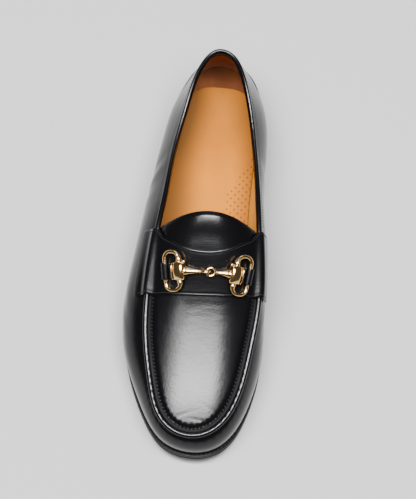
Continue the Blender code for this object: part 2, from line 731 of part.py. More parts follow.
def bit_loop(name, side, barrel_x):
    """Leather bridge over the ring's outer run, its two feet lying on the saddle."""
    run = ring_frame(side, barrel_x) @ Vector((RING_WIDTH * MM, 0.0, 0.0)) / MM
    along = ring_frame(side, barrel_x).to_3x3().col[1]
    place = frame(run, along.cross(saddle_normal(run.x)).normalized(), along)
    hole = RING_WIRE + GAP
    base = LOOP_LIFT - RUN_LIFT
    arch = [math.radians(180.0 * k / 10.0) for k in range(11)]
    outer = [((hole + LOOP_SKIN) * math.cos(a), (hole + LOOP_SKIN) * math.sin(a)) for a in arch]
    inner = [(hole * math.cos(a), hole * math.sin(a)) for a in arch[::-1]]
    foot = [(LOOP_FOOT, base), (LOOP_FOOT, base + LOOP_SKIN), (hole + LOOP_SKIN, base + LOOP_SKIN)]
    mirrored = [(-x, z) for x, z in foot[::-1]]
    outline = foot + outer + mirrored + [(-hole, base)] + inner + [(hole, base)]

    def body(bm):
        half = LOOP_WIDTH / 2.0
        ends = [[bm.verts.new(place @ (Vector((x, y, z)) * MM)) for x, z in outline] for y in (-half, half)]
        for i in range(len(outline)):
            ahead = (i + 1) % len(outline)
            bm.faces.new((ends[0][i], ends[0][ahead], ends[1][ahead], ends[1][i]))
        bm.faces.new(ends[0])
        bm.faces.new(ends[1][::-1])

    return new_object(f"bit_loop_{name}", mesh_from("loop", body), BLACK_LEATHER)


def centre_on_origin():
    """Moves the whole shoe so that the middle of its outline is over the origin."""
    widest = [bpy.data.objects[name].data for name in ("upper", "outsole", "saddle_strap")]
    outline = np.array([v.co for mesh in widest for v in mesh.vertices])
    middle = (outline.min(0) + outline.max(0)) / 2.0
    for part in [*SHOE.objects, *TOOLS.objects]:
        part.location = (-middle[0], -middle[1], 0.0)


for old in list(bpy.data.objects):
    bpy.data.objects.remove(old)
SHOE = bpy.data.collections.new("bit_loafer")
TOOLS = bpy.data.collections.new("cutters")
bpy.context.scene.collection.children.link(SHOE)
bpy.context.scene.collection.children.link(TOOLS)

upper()
outsole()
welt()
insole()
sock()
heel()
saddle()
for name, (side, eye_x, barrel_x) in BIT_SIDES.items():
    bit_half(name, side, eye_x, barrel_x)
    bit_ring(name, side, barrel_x)
    bit_loop(name, side, barrel_x)
centre_on_origin()
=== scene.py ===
import math
from collections import namedtuple

import bmesh
import bpy
import numpy as np
from mathutils import Matrix, Vector


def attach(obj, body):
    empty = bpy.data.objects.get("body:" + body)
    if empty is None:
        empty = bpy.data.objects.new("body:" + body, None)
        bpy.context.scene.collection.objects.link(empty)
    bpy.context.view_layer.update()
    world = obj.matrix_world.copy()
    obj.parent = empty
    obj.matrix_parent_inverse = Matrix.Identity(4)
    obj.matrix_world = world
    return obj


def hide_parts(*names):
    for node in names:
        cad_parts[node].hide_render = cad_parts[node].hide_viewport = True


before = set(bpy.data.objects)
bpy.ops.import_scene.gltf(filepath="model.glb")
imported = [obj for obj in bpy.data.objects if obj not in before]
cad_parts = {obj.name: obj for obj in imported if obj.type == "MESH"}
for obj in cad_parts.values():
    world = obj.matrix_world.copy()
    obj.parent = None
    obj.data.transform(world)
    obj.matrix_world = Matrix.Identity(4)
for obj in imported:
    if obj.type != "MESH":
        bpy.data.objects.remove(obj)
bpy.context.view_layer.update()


# The outsole is one 5 mm sheet of bend leather, its edge trimmed square, inked black and waxed.
# Its underside is left natural, springs up at the toe, lies flat at the ball and rises to the heel seat.
# The table holds the last that every other piece follows, one row a section from toe tip to heel, each with
# an outer and an inner side: sole and rim are how far out they lie, margin is the welt's ledge, rise the
# rim's height, crown the apron's arch, and flare and lean how far the wall stands out low down and high up.
Section = namedtuple(
    "Section",
    "sole_out sole_in margin rim_out rim_in rise_out rise_in crown flare_out flare_in lean_out lean_in",
)
SECTIONS = [
    Section(-1.0, -1.0, 3.0, -3.8, -3.8, 39.5, 39.5, 0.0070, 3.7, 3.7, 3.0, 3.0),
    Section(-20.6, 17.0, 3.0, -18.7, 11.0, 39.7, 39.7, 0.0068, 4.0, 3.8, 3.5, 3.3),
    Section(-34.0, 29.7, 2.8, -29.5, 23.0, 40.5, 40.6, 0.0065, 4.8, 4.6, 4.5, 4.0),
    Section(-45.3, 38.6, 2.6, -35.6, 30.8, 42.5, 43.0, 0.0061, 6.4, 5.4, 6.0, 4.6),
    Section(-54.5, 43.8, 2.3, -40.4, 35.7, 46.5, 47.5, 0.0064, 10.4, 5.4, 7.0, 5.0),
    Section(-56.0, 40.5, 2.0, -41.2, 38.9, 54.5, 56.0, 0.0080, 11.4, 5.4, 7.6, 4.2),
    Section(-48.0, 33.0, 1.6, -37.9, 36.5, 66.0, 67.5, 0.0132, 12.4, 12.8, 7.6, 3.6),
    Section(-41.5, 31.0, 1.5, -33.3, 33.4, 66.0, 68.0, 0.0200, 13.0, 11.6, 8.4, 3.6),
    Section(-37.0, 33.0, 1.6, -29.4, 29.5, 66.5, 68.0, 0.0200, 9.8, 12.2, 7.2, 6.0),
    Section(-34.0, 34.2, 2.0, -23.4, 24.6, 70.5, 71.5, 0.0200, 4.8, 8.0, 5.2, 6.8),
    Section(-25.2, 28.8, 2.6, -17.7, 18.5, 78.0, 78.0, 0.0200, 0.8, 1.2, 1.4, 3.0),
    Section(-14.6, 17.0, 3.0, -9.4, 10.7, 86.5, 86.0, 0.0200, 0.6, 0.6, 1.0, 1.8),
    Section(0.0, 0.0, 3.0, 0.0, 0.0, 88.5, 88.5, 0.0200, 2.2, 2.2, 2.6, 2.6),
]
ROUND = 2 * (len(SECTIONS) - 1)
SOLE_LENGTH = 303.5
HEEL_BREAST = 228.0
OUTSOLE = 5.0
TREAD = [
    (0.0, 9.0), (20.0, 5.0), (44.0, 1.6), (62.0, 0.3), (76.0, 0.0), (94.0, 0.0), (112.0, 0.0),
    (128.0, 1.0), (150.0, 4.4), (180.0, 10.2), (205.0, 14.6), (228.0, 18.0),
]
FLAT_BALL = (76.0, 112.0)
SEAT_SLOPE = 0.04
SHOE_MIDDLE = (-7.1458, 151.75)


def closed_spline(values):
    """A smooth periodic cubic through evenly spaced values, as a function of the ring position."""
    values = np.asarray(values, float)
    count = len(values)
    push = 6.0 * (np.roll(values, 1) - 2.0 * values + np.roll(values, -1))
    stiffness = 4.0 + 2.0 * np.cos(2.0 * math.pi * np.arange(count) / count)
    bend = np.real(np.fft.ifft(np.fft.fft(push) / stiffness))

    def curve(at):
        at = np.asarray(at, float) % count
        low = np.floor(at).astype(int) % count
        high = (low + 1) % count
        b = at - np.floor(at)
        a = 1.0 - b
        return a * values[low] + b * values[high] + ((a**3 - a) * bend[low] + (b**3 - b) * bend[high]) / 6.0

    return curve


def open_spline(points):
    """A natural cubic through a few (along, value) points; the values may be points in space."""
    along = np.array([p[0] for p in points], float)
    value = np.array([p[1] for p in points], float)
    flat = value.reshape(len(along), -1)
    h = np.diff(along)
    count = len(along)
    system, right = np.eye(count), np.zeros_like(flat)
    for i in range(1, count - 1):
        system[i, i - 1 : i + 2] = h[i - 1], 2.0 * (h[i - 1] + h[i]), h[i]
        right[i] = 6.0 * ((flat[i + 1] - flat[i]) / h[i] - (flat[i] - flat[i - 1]) / h[i - 1])
    bend = np.linalg.solve(system, right)

    def curve(at):
        at = np.asarray(at, float)
        i = np.clip(np.searchsorted(along, at) - 1, 0, count - 2)
        step = h[i][..., None]
        b = ((at - along[i]) / h[i])[..., None]
        a = 1.0 - b
        arch = ((a**3 - a) * bend[i] + (b**3 - b) * bend[i + 1]) * step**2 / 6.0
        out = a * flat[i] + b * flat[i + 1] + arch
        return out.reshape(at.shape + value.shape[1:])

    return curve


def ring_column(outer, inner):
    """A closed curve from two section columns: the outer side from toe to heel, the inner side back."""
    down = [getattr(s, outer) for s in SECTIONS]
    back = [getattr(s, inner) for s in SECTIONS]
    return closed_spline(down + back[-2:0:-1])


SOLE_X = ring_column("sole_out", "sole_in")
TREAD_CURVE = open_spline(TREAD)


def along_ring(at, start, end):
    """Distance along the shoe for a ring position: a cosine, so both ends come out round."""
    return start + (end - start) * (1.0 - np.cos(2.0 * math.pi * np.asarray(at) / ROUND)) / 2.0


def ring_at(y, start, end):
    """The ring position on the outer side whose distance along the shoe is y."""
    share = np.clip((np.asarray(y, float) - start) / (end - start), 0.0, 1.0)
    return ROUND * np.arccos(1.0 - 2.0 * share) / (2.0 * math.pi)


def tread(y):
    """Height of the outsole's underside above the floor: flat at the ball, straight over the heel."""
    y = np.asarray(y, float)
    curved = np.maximum(TREAD_CURVE(np.minimum(y, HEEL_BREAST)), 0.0)
    flat = (y > FLAT_BALL[0]) & (y < FLAT_BALL[1])
    seat = TREAD[-1][1] + SEAT_SLOPE * (y - HEEL_BREAST)
    return np.where(y > HEEL_BREAST, seat, np.where(flat, 0.0, curved))


def sole_edge(at):
    """Plan points on the sole's edge."""
    return np.stack([SOLE_X(at), along_ring(at, 0.0, SOLE_LENGTH)], -1)


def plan_normals(points):
    """Outward unit normals of a closed plan curve."""
    step = np.roll(points, -1, 0) - np.roll(points, 1, 0)
    normal = np.stack([step[:, 1], -step[:, 0]], 1)
    normal /= np.linalg.norm(normal, axis=1)[:, None]
    return normal if ((points - points.mean(0)) * normal).sum() > 0 else -normal


def raised(plan, height):
    """Plan points with a height, as points in space."""
    height = np.broadcast_to(height, plan.shape[:-1])
    return np.concatenate([plan, height[..., None]], -1)


def smooth(share):
    """Smoothstep, held at 0 and 1 outside them."""
    share = np.clip(share, 0.0, 1.0)
    return share * share * (3.0 - 2.0 * share)


def piece(name, patches, materials):
    """One mesh from grids of points in the layout's millimetres.

    Each patch is (grid, closed down, closed across, material number, or one for each face). Every grid square
    is a face, grid edges that meet are merged, and the faces are turned outwards.
    """
    points, quads, numbers = [], [], []
    start = 0
    for grid, down, across, number in patches:
        rows, columns = grid.shape[:2]
        index = start + np.arange(rows * columns).reshape(rows, columns)
        if down:
            index = np.concatenate([index, index[:1]], 0)
        if across:
            index = np.concatenate([index, index[:, :1]], 1)
        corners = [index[:-1, :-1], index[:-1, 1:], index[1:, 1:], index[1:, :-1]]
        quads.append(np.stack(corners, -1).reshape(-1, 4))
        numbers.append(np.broadcast_to(number, corners[0].shape).ravel())
        points.append(grid.reshape(-1, 3))
        start += rows * columns
    points, quads, numbers = np.concatenate(points), np.concatenate(quads), np.concatenate(numbers)
    points = (points - np.array([*SHOE_MIDDLE, 0.0])) * 0.001
    mesh = bpy.data.meshes.new(name)
    mesh.vertices.add(len(points))
    mesh.vertices.foreach_set("co", points.ravel())
    mesh.loops.add(quads.size)
    mesh.loops.foreach_set("vertex_index", quads.ravel().astype(np.int32))
    mesh.polygons.add(len(quads))
    mesh.polygons.foreach_set("loop_start", np.arange(0, quads.size, 4, dtype=np.int32))
    mesh.polygons.foreach_set("material_index", numbers.astype(np.int32))
    mesh.update(calc_edges=True)
    bm = bmesh.new()
    bm.from_mesh(mesh)
    bmesh.ops.remove_doubles(bm, verts=bm.verts, dist=2e-6)
    bmesh.ops.dissolve_degenerate(bm, edges=bm.edges, dist=1e-7)
    bmesh.ops.recalc_face_normals(bm, faces=bm.faces)
    bm.to_mesh(mesh)
    bm.free()
    for material in materials:
        mesh.materials.append(material)
    mesh.shade_smooth()
    mesh.set_sharp_from_angle(angle=math.radians(50.0))
    made = bpy.data.objects.new(name, mesh)
    bpy.context.scene.collection.objects.link(made)
    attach(made, "root")
    return made


class Wire:
    """A socket of a material's nodes. Arithmetic on wires adds Math nodes, and add() any other node."""

    def __init__(self, nodes, socket=None):
        self.nodes, self.socket = nodes, socket

    def add(self, kind, settings=None, sockets=None, out=0):
        """A new node: its settings are set first, then its sockets. out is the output that is passed on."""
        node = self.nodes.new(kind)
        for name, value in (settings or {}).items():
            setattr(node, name, value)
        for name, value in (sockets or {}).items():
            if isinstance(value, Wire):
                self.nodes.id_data.links.new(value.socket, node.inputs[name])
            else:
                node.inputs[name].default_value = value
        return Wire(self.nodes, node.outputs[out])

    def maths(self, operation, *terms):
        """A Math node on its terms, each a wire or a number."""
        return self.add("ShaderNodeMath", {"operation": operation}, dict(enumerate(terms)))

    def __add__(self, other): return self.maths("ADD", self, other)
    def __radd__(self, other): return self.maths("ADD", other, self)
    def __sub__(self, other): return self.maths("SUBTRACT", self, other)
    def __rsub__(self, other): return self.maths("SUBTRACT", other, self)
    def __mul__(self, other): return self.maths("MULTIPLY", self, other)
    def __truediv__(self, other): return self.maths("DIVIDE", self, other)

    def between(self, low, high):
        """0 below low, 1 above high, smooth in between; low may be the larger."""
        settings = {"interpolation_type": "SMOOTHSTEP"}
        return self.add("ShaderNodeMapRange", settings, {"Value": self, "From Min": low, "From Max": high})

    def axes(self, place):
        """The X and Y of a place."""
        return [self.add("ShaderNodeSeparateXYZ", None, {"Vector": place}, out=k) for k in (0, 1)]

    def noise(self, place, scale, detail=2.0, roughness=0.5):
        """Perlin noise with features about 1/scale metres wide."""
        sockets = {"Vector": place, "Scale": scale, "Detail": detail, "Roughness": roughness}
        return self.add("ShaderNodeTexNoise", None, sockets)

    def blend(self, factor, first, second):
        """A colour between two others, each a wire or red, green and blue."""
        first, second = (c if isinstance(c, Wire) else (*c, 1.0) for c in (first, second))
        sockets = {"Factor": factor, 6: first, 7: second}
        return self.add("ShaderNodeMix", {"data_type": "RGBA"}, sockets, out=2)


def finish(name, settings, paint):
    """A Principled material. settings are its constants; paint(wire, place) returns the sockets that vary."""
    material = bpy.data.materials.new(name)
    material.use_nodes = True
    shader = material.node_tree.nodes["Principled BSDF"]
    for socket, value in settings.items():
        shader.inputs[socket].default_value = value
    wire = Wire(material.node_tree.nodes)
    place = wire.add("ShaderNodeTexCoord", out=3)
    for socket, made in paint(wire, place).items():
        material.node_tree.links.new(made.socket, shader.inputs[socket])
    return material


def shallow(wire, height, depth, strength=1.0):
    """Normals from a height between 0 and 1 that stands depth metres tall."""
    return wire.add("ShaderNodeBump", None, {"Height": height, "Distance": depth, "Strength": strength})


def worn_leather(wire, place):
    """Natural sole leather: fibrous flecks, faint cutting lines along the hide and a scuffed sheen."""
    flecks = wire.noise(place, 900.0, 4.0, 0.7)
    clouds = wire.noise(place, 45.0, 3.0)
    colour = wire.blend(clouds.between(0.3, 0.75), (0.30, 0.155, 0.065), (0.42, 0.245, 0.115))
    colour = wire.blend(flecks.between(0.55, 0.8) * 0.4, colour, (0.16, 0.08, 0.035))
    relief = shallow(wire, flecks, 0.00008, 0.6)
    return {"Base Color": colour, "Roughness": 0.42 + clouds * 0.3, "Normal": relief}


def waxed_edge(wire, place):
    """Black edge ink under wax: nearly smooth, with the faint lines of the trimmed layers."""
    grain = wire.noise(place, 1400.0, 3.0, 0.6)
    streaks = wire.noise(place, 180.0, 2.0)
    return {"Roughness": 0.3 + streaks * 0.22, "Normal": shallow(wire, grain, 0.00005, 0.5)}


SOLE_STEPS = 360
sole_leather = finish("sole_leather_underside", {}, worn_leather)
INK = {"Base Color": (0.004, 0.004, 0.004, 1.0), "Specular IOR Level": 0.12}
edge_ink = finish("edge_ink", INK, waxed_edge)
sole_at = np.arange(SOLE_STEPS) * ROUND / SOLE_STEPS
SOLE_LINE = sole_edge(sole_at)
SOLE_OUT = plan_normals(SOLE_LINE)


def across_rows(outline, shares):
    """Rows of plan points across from each outline point to its opposite: (half + 1, shares, 2)."""
    half = len(outline) // 2
    left = outline[: half + 1, None, :]
    right = outline[(-np.arange(half + 1)) % len(outline), None, :]
    return left + (right - left) * shares[None, :, None]


def edge_profile(inset_lifts, height):
    """A band round the sole: each (inset, lift) is one line, inset from the edge and lifted off the tread."""
    lines = []
    for inset, lift in inset_lifts:
        plan = SOLE_LINE - SOLE_OUT * inset
        lines.append(raised(plan, height(plan[:, 1]) + lift))
    return np.array(lines)


OUTSOLE_EDGE = [
    (1.3, 0.0), (0.55, 0.12), (0.15, 0.5), (0.0, 1.2), (0.0, 3.6), (0.12, 4.4), (0.5, 4.85), (1.3, OUTSOLE),
]
sole_band = edge_profile(OUTSOLE_EDGE, tread)
bed_shares = np.linspace(0.0, 1.0, 25)
sole_under = across_rows(sole_band[0][:, :2], bed_shares)
sole_over = across_rows(sole_band[-1][:, :2], bed_shares)
outsole = piece(
    "outsole_leather",
    [
        (sole_band, False, True, 1),
        (raised(sole_under, tread(sole_under[..., 1])), False, False, 0),
        (raised(sole_over, tread(sole_over[..., 1]) + OUTSOLE), False, False, 1),
    ],
    [sole_leather, edge_ink],
)
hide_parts("outsole")


# The welt is a 3 mm black leather strip between outsole and upper. It stands a little proud of the upper
# at the toe, where its top is ribbed by a fudge wheel and carries the sole stitching.
WELT = 3.0
GAP = 0.3
MARGIN = ring_column("margin", "margin")
WALL = 2.2
STITCH_PITCH = 3.2
WELT_ROW_INSET = 1.75
WELT_ROW_END = 150.0


def thread_wax(wire, place):
    """Waxed linen thread: fine twist along each stitch."""
    twist = wire.noise(place, 2600.0, 2.0)
    return {"Roughness": 0.35 + twist * 0.3, "Normal": shallow(wire, twist, 0.00005, 0.6)}


THREAD = {"Base Color": (0.006, 0.006, 0.007, 1.0), "Specular IOR Level": 0.25}
black_thread = finish("black_thread", THREAD, thread_wax)


def closed_ends(grid):
    """A grid that closes across, with its first and last rows drawn in to their middles."""
    caps = [np.broadcast_to(grid[k].mean(0), grid[k].shape)[None] for k in (0, -1)]
    return np.concatenate([caps[0], grid, caps[1]])


def turned(first, second, degrees):
    """Two square directions or coordinates, turned by an angle from the first towards the second."""
    turn = math.radians(degrees)
    return first * math.cos(turn) + second * math.sin(turn), second * math.cos(turn) - first * math.sin(turn)


def stitches(name, line, normals, pitch, length, radius, tilt=0.0):
    """A row of thread stitches on a line: each is a short tube whose ends dip into the leather.

    The line is walked in equal steps of pitch. A stitch is 7 rings of 6 points, its radius and height
    falling towards both ends as a half ellipse. tilt turns it in the surface, in degrees.
    """
    run = np.concatenate([[0.0], np.cumsum(np.linalg.norm(np.diff(line, axis=0), axis=1))])
    count = int(run[-1] / pitch)
    middle = (np.arange(count) + 0.5) * run[-1] / count

    def sample(values, at):
        return np.stack([np.interp(at, run, values[:, k]) for k in range(3)], 1)

    ahead = sample(line, np.minimum(middle + 0.4, run[-1])) - sample(line, np.maximum(middle - 0.4, 0.0))
    up = sample(normals, middle)
    up /= np.linalg.norm(up, axis=1)[:, None]
    ahead -= up * (ahead * up).sum(1)[:, None]
    ahead /= np.linalg.norm(ahead, axis=1)[:, None]
    along, side = turned(ahead, np.cross(up, ahead), tilt)
    t = np.linspace(-1.0, 1.0, 7)[:, None]
    swell = np.sqrt(1.0 - t**2)
    thick = radius * (0.12 + 0.88 * swell)
    spin = np.arange(6) * math.pi / 3.0
    lift = radius * (1.5 * swell - 0.9) + thick * np.sin(spin)
    centre, along, side, up = (v[:, None, None] for v in (sample(line, middle), along, side, up))
    rings = centre + along * (t * length / 2.0)[..., None]
    rings = rings + side * (thick * np.cos(spin))[..., None] + up * lift[..., None]
    return piece(name, [(closed_ends(ring), False, True, 0) for ring in rings], [black_thread])


def fudged_top(wire, place):
    """The welt under ink and wax: fine uneven ribs, shallow, that also vary the gloss."""
    ribs = wire.noise(place, 1100.0, 2.0, 0.4)
    return {"Roughness": 0.3 + ribs * 0.2, "Normal": shallow(wire, ribs, 0.00012, 0.5)}


welt_wax = finish("welt_wax", INK, fudged_top)
FOOT_LINE = SOLE_LINE - SOLE_OUT * MARGIN(sole_at)[:, None]
inner_welt = FOOT_LINE - SOLE_OUT * (WALL + 0.2)
WELT_EDGE = [
    (0.95, 5.3), (0.45, 5.42), (0.25, 5.8), (0.22, 6.6), (0.25, 7.3), (0.45, 7.75), (0.9, 7.98), (1.5, 8.0),
]
welt_band = edge_profile(WELT_EDGE, tread)
inner_high = raised(inner_welt, tread(inner_welt[:, 1]) + OUTSOLE + WELT)
inner_low = raised(inner_welt, tread(inner_welt[:, 1]) + OUTSOLE + GAP)
welt_grid = np.concatenate([welt_band, inner_high[None], inner_low[None]])
welt = piece("welt_strip", [(welt_grid, True, True, 0)], [welt_wax])
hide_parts("welt")


def from_inner_side(at, chosen):
    """The numbers of the chosen ring steps in order round the toe, from the inner side to the outer."""
    chosen = np.where(chosen)[0]
    return chosen[np.argsort(np.where(at > ROUND / 2, at - ROUND, at)[chosen])]


sewn = from_inner_side(sole_at, SOLE_LINE[:, 1] < WELT_ROW_END)
welt_line = SOLE_LINE[sewn] - SOLE_OUT[sewn] * WELT_ROW_INSET
welt_line = raised(welt_line, tread(welt_line[:, 1]) + OUTSOLE + WELT + 0.02)
welt_up = np.tile([0.0, 0.0, 1.0], (len(welt_line), 1))
sole_stitching = stitches("sole_stitching", welt_line, welt_up, STITCH_PITCH, 2.5, 0.28)


# The heel is a stack of three leather lifts, inked and waxed black so that their joints barely show,
# over a 6 mm rubber top piece. Its front is hollowed and it narrows slightly towards the floor.
TOP_PIECE = 6.0
LIFTS = (10.4, 14.6)
HEEL_INSET = 0.6
HEEL_TAPER = 0.06
BREAST_HOLLOW = 3.0
HEEL_STEPS = 161


def rubber_face(wire, place):
    """Moulded rubber: fine pits and a dusty sheen."""
    pits = wire.noise(place, 1600.0, 3.0, 0.6)
    return {"Roughness": 0.55 + pits * 0.25, "Normal": shallow(wire, pits, 0.0001, 0.5)}


heel_rubber = finish("top_piece_rubber", {"Base Color": (0.018, 0.018, 0.018, 1.0)}, rubber_face)
heel_start = ring_at(HEEL_BREAST, 0.0, SOLE_LENGTH)
heel_at = np.linspace(heel_start, ROUND - heel_start, HEEL_STEPS)
heel_line = sole_edge(heel_at)
heel_out = np.stack([np.interp(heel_at, sole_at, SOLE_OUT[:, k]) for k in range(2)], 1)
SEAT = float(tread(HEEL_BREAST))


def heel_ring(inset, height):
    """One closed line round the heel at a height above the floor: the sole's edge, then the hollow front."""
    edge = heel_line - heel_out * (HEEL_INSET + HEEL_TAPER * (SEAT - min(height, SEAT)) + inset)
    share = np.linspace(0.0, 1.0, 33)[1:-1, None]
    front = edge[-1] + (edge[0] - edge[-1]) * share
    front[:, 1:] += (BREAST_HOLLOW + inset) * 4.0 * share * (1.0 - share)
    return raised(np.concatenate([edge, front]), height)


def heel_block(name, low, high, material, sloped=False):
    """A layer of the heel: its wall with small rounded arrises, and flat faces above and below."""
    steps = [(0.5, 0.0), (0.15, 0.12), (0.0, 0.4)]
    lines = [heel_ring(inset, low + lift) for inset, lift in steps]
    lines += [heel_ring(inset, high - lift) for inset, lift in steps[::-1]]
    if sloped:
        for line, weight in zip(lines[-3:], (0.9, 0.97, 1.0)):
            line[:, 2] += weight * SEAT_SLOPE * (line[:, 1] - HEEL_BREAST)
    wall = np.array(lines)
    faces = [(wall, False, True, 0)]
    for line in (wall[0], wall[-1]):
        middle = np.broadcast_to(line.mean(0), line.shape)
        faces.append((line + (middle - line) * np.linspace(0.0, 1.0, 6)[:, None, None], False, True, 0))
    return piece(name, faces, [material])


top_piece = heel_block("rubber_top_piece", 0.0, TOP_PIECE, heel_rubber)
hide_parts("heel_top_piece")
lift_floors = [TOP_PIECE, *LIFTS]
lift_tops = [*LIFTS, SEAT - 1.5 * GAP]
for number, (low, high) in enumerate(zip(lift_floors, lift_tops), 1):
    lift = heel_block(f"leather_lift_{number}", low + 0.08, high - 0.02, edge_ink, sloped=number == 3)
    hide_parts(f"heel_lift_{number}")


# The insole board lies inside the wall. Behind the sock its heel seat is bare brown suede-like leather,
# cupped a little at the sides.
INSOLE_RISE = 1.6
INSOLE_INSET = 0.25
SEAT_CUP, SEAT_START, SEAT_FADE = 2.4, 215.0, 55.0


def footbed(x, y):
    """Height of the insole's face: the seat's edges turn up a little behind the arch."""
    at = ring_at(y, 0.0, SOLE_LENGTH)
    middle = (SOLE_X(at) + SOLE_X(ROUND - at)) / 2.0
    cup = SEAT_CUP * smooth((y - SEAT_START) / SEAT_FADE) * ((x - middle) / 30.0) ** 2
    return tread(y) + OUTSOLE + WELT + INSOLE_RISE + cup


def brown_nap(wire, place):
    """Brown lining leather with a short nap, a little lighter where it has been rubbed."""
    nap = wire.noise(place, 1300.0, 4.0, 0.7)
    clouds = wire.noise(place, 60.0, 3.0)
    colour = wire.blend(clouds.between(0.35, 0.7), (0.078, 0.021, 0.0045), (0.106, 0.031, 0.007))
    colour = wire.blend(nap.between(0.5, 0.8) * 0.35, colour, (0.025, 0.007, 0.003))
    return {"Base Color": colour, "Normal": shallow(wire, nap, 0.0001, 0.6)}


brown_lining = finish("brown_lining_leather", {"Roughness": 0.85, "Specular IOR Level": 0.2}, brown_nap)
board_line = FOOT_LINE - SOLE_OUT * (WALL + GAP + INSOLE_INSET)
board_rows = across_rows(board_line, bed_shares)


def board_face(plan, high):
    """Plan points on the board's upper face, or on its lower one."""
    floor = tread(plan[..., 1]) + OUTSOLE + GAP
    return raised(plan, footbed(plan[..., 0], plan[..., 1]) if high else floor)


board_faces = [(board_face(board_rows, high), False, False, 0) for high in (True, False)]
board_side = np.stack([board_face(board_line, high) for high in (True, False)])
insole = piece("insole_board", board_faces + [(board_side, False, True, 0)], [brown_lining])
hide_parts("insole")


# The sock is 1 mm tan calf, cemented over the insole, cut round at the back, 17 mm short of the board's end.
# It is punched with small breathing holes in a wedge over the inner arch; painted shade darkens it towards
# its edges and its back.
FLARE = ring_column("flare_out", "flare_in")
SOCK = 1.0
SOCK_GAP = 0.4
SOCK_EASE, SOCK_SPREAD = 0.3, 0.08
SOCK_TAPER, SOCK_BACK, SOCK_FLATNESS = 215.0, 280.5, 1.3
SOCK_MIDDLE = 0.0095
HALF_PITCH = 0.0027
HOLE_RADIUS = 0.0006
HOLES_NEAR, HOLES_LEFT, HOLES_SLANT, HOLES_FAR = 0.0176, 0.0137, 0.616, 0.079


def tan_calf(wire, place, deep=(0.33, 0.098, 0.002), light=(0.40, 0.128, 0.003)):
    """Tan lining calf: even, with faint pores, slightly deeper and redder clouds and a soft sheen."""
    pores = wire.add("ShaderNodeTexVoronoi", None, {"Vector": place, "Scale": 1500.0})
    clouds = wire.noise(place, 28.0, 3.0, 0.55)
    colour = wire.blend(clouds.between(0.3, 0.75), deep, light)
    relief = shallow(wire, pores, 0.00004, 0.5)
    return {"Base Color": colour, "Roughness": 0.62 + clouds * 0.12, "Normal": relief}


def punched_calf(wire, place):
    """Tan calf with a staggered grid of breathing holes in a wedge, and painted shade darkening it towards
    the sock's edges and back.

    A hole is where the distance from the middle of a grid cell is less than its radius. The wedge is the
    product of three soft steps: right of a slanting line, right of the inner limit and short of the far one.
    """
    made = tan_calf(wire, place)
    x, y = wire.axes(place)
    row = wire.maths("FLOOR", y / HALF_PITCH)
    stagger = wire.maths("PINGPONG", row, 1.0) * HALF_PITCH
    cell_x = wire.maths("WRAP", x + stagger, HALF_PITCH, -HALF_PITCH)
    cell_y = wire.maths("WRAP", y, HALF_PITCH, 0.0) - HALF_PITCH / 2.0
    away = wire.maths("SQRT", cell_x * cell_x + cell_y * cell_y)
    wedge = (x - (HOLES_LEFT + (y - 0.040) * HOLES_SLANT)).between(-0.0004, 0.0004)
    wedge = wedge * (x - HOLES_NEAR).between(-0.0004, 0.0004) * (HOLES_FAR - y).between(-0.0002, 0.0002)
    hole = (1.0 - away.between(HOLE_RADIUS * 0.7, HOLE_RADIUS * 1.3)) * wedge
    # Painted shade: the sock darkens strongly towards its outer edge, less towards its inner edge, and
    # towards its back.
    from_middle = x - (SOCK_MIDDLE + (y - 0.060) * 0.02)
    outer, inner = (from_middle * -1.0).between(0.004, 0.030), from_middle.between(0.010, 0.034)
    painted_shade_edges = outer * 0.85 + inner * 0.5 + (y - 0.055).between(0.0, 0.065) * 0.45
    colour = wire.blend(painted_shade_edges, made["Base Color"], (0.12, 0.046, 0.007))
    made["Base Color"] = wire.blend(hole * 0.65, colour, (0.06, 0.024, 0.008))
    made["Normal"] = shallow(wire, 1.0 - hole, 0.0004, 0.8)
    return made


CALF = {"Specular IOR Level": 0.1}
sock_leather = finish("tan_sock_calf", CALF, punched_calf)
sock_line = board_line + SOLE_OUT * (SOCK_EASE + SOCK_SPREAD * FLARE(sole_at))[:, None]
share = (sock_line[:, 1] - SOCK_TAPER) / (sock_line[:, 1].max() - SOCK_TAPER)
pulled = SOCK_TAPER + (SOCK_BACK - SOCK_TAPER) * (1.0 - np.clip(1.0 - share, 0.0, 1.0) ** SOCK_FLATNESS)
sock_line = np.stack([sock_line[:, 0], np.where(share > 0.0, pulled, sock_line[:, 1])], 1)


def sock_face(inset, lift, whole=False):
    """The sock's outline, or its whole face as rows across, inset from its cut edge and lifted."""
    plan = sock_line - SOLE_OUT * inset
    plan = across_rows(plan, bed_shares) if whole else plan
    return raised(plan, footbed(plan[..., 0], plan[..., 1]) + SOCK_GAP + lift)


SOCK_EDGE = [(0.0, 0.0), (0.0, 0.6), (0.12, 0.9), (0.4, SOCK)]
sock_faces = [(sock_face(*SOCK_EDGE[k], whole=True), False, False, 0) for k in (-1, 0)]
sock_side = np.stack([sock_face(*step) for step in SOCK_EDGE])
sock = piece("sock_calf", sock_faces + [(sock_side, False, True, 0)], [sock_leather])
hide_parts("sock_lining")


# The upper is box calf, lasted over the insole and hand-sewn: the side wall is gathered up into a raised
# bead round the apron, the same bead runs on as the rolled collar, and the apron ends in the tongue.
# Inside it is lined with tan calf at the sides and brown leather at the heel, under a black facing.
RIM_TOE = 9.8
RIM_HEEL = 286.0
BEAD_RADIUS = 2.1
COLLAR_RADIUS = 1.4
COLLAR_START, COLLAR_BLEND, COLLAR_TAPER = 158.0, 12.0, 70.0
COLLAR_REACH, COLLAR_DROP = 1.9, 0.9
GROOVE_REACH, GROOVE_DEPTH = 4.6, 0.9
SEAM_END = 118.0
WALL_END_ANGLE = -25.0
SHOULDER, SHOULDER_END, SHOULDER_FADE = 0.4, 200.0, 45.0
FOOT_HANDLE, RIM_HANDLE = 0.34, 0.30
GATHERS_END, GATHERS_FADE = 112.0, 20.0
TUCK, PLEAT, SWELL, PULL, VALLEY = 0.12, 0.10, 0.07, 0.12, 0.35
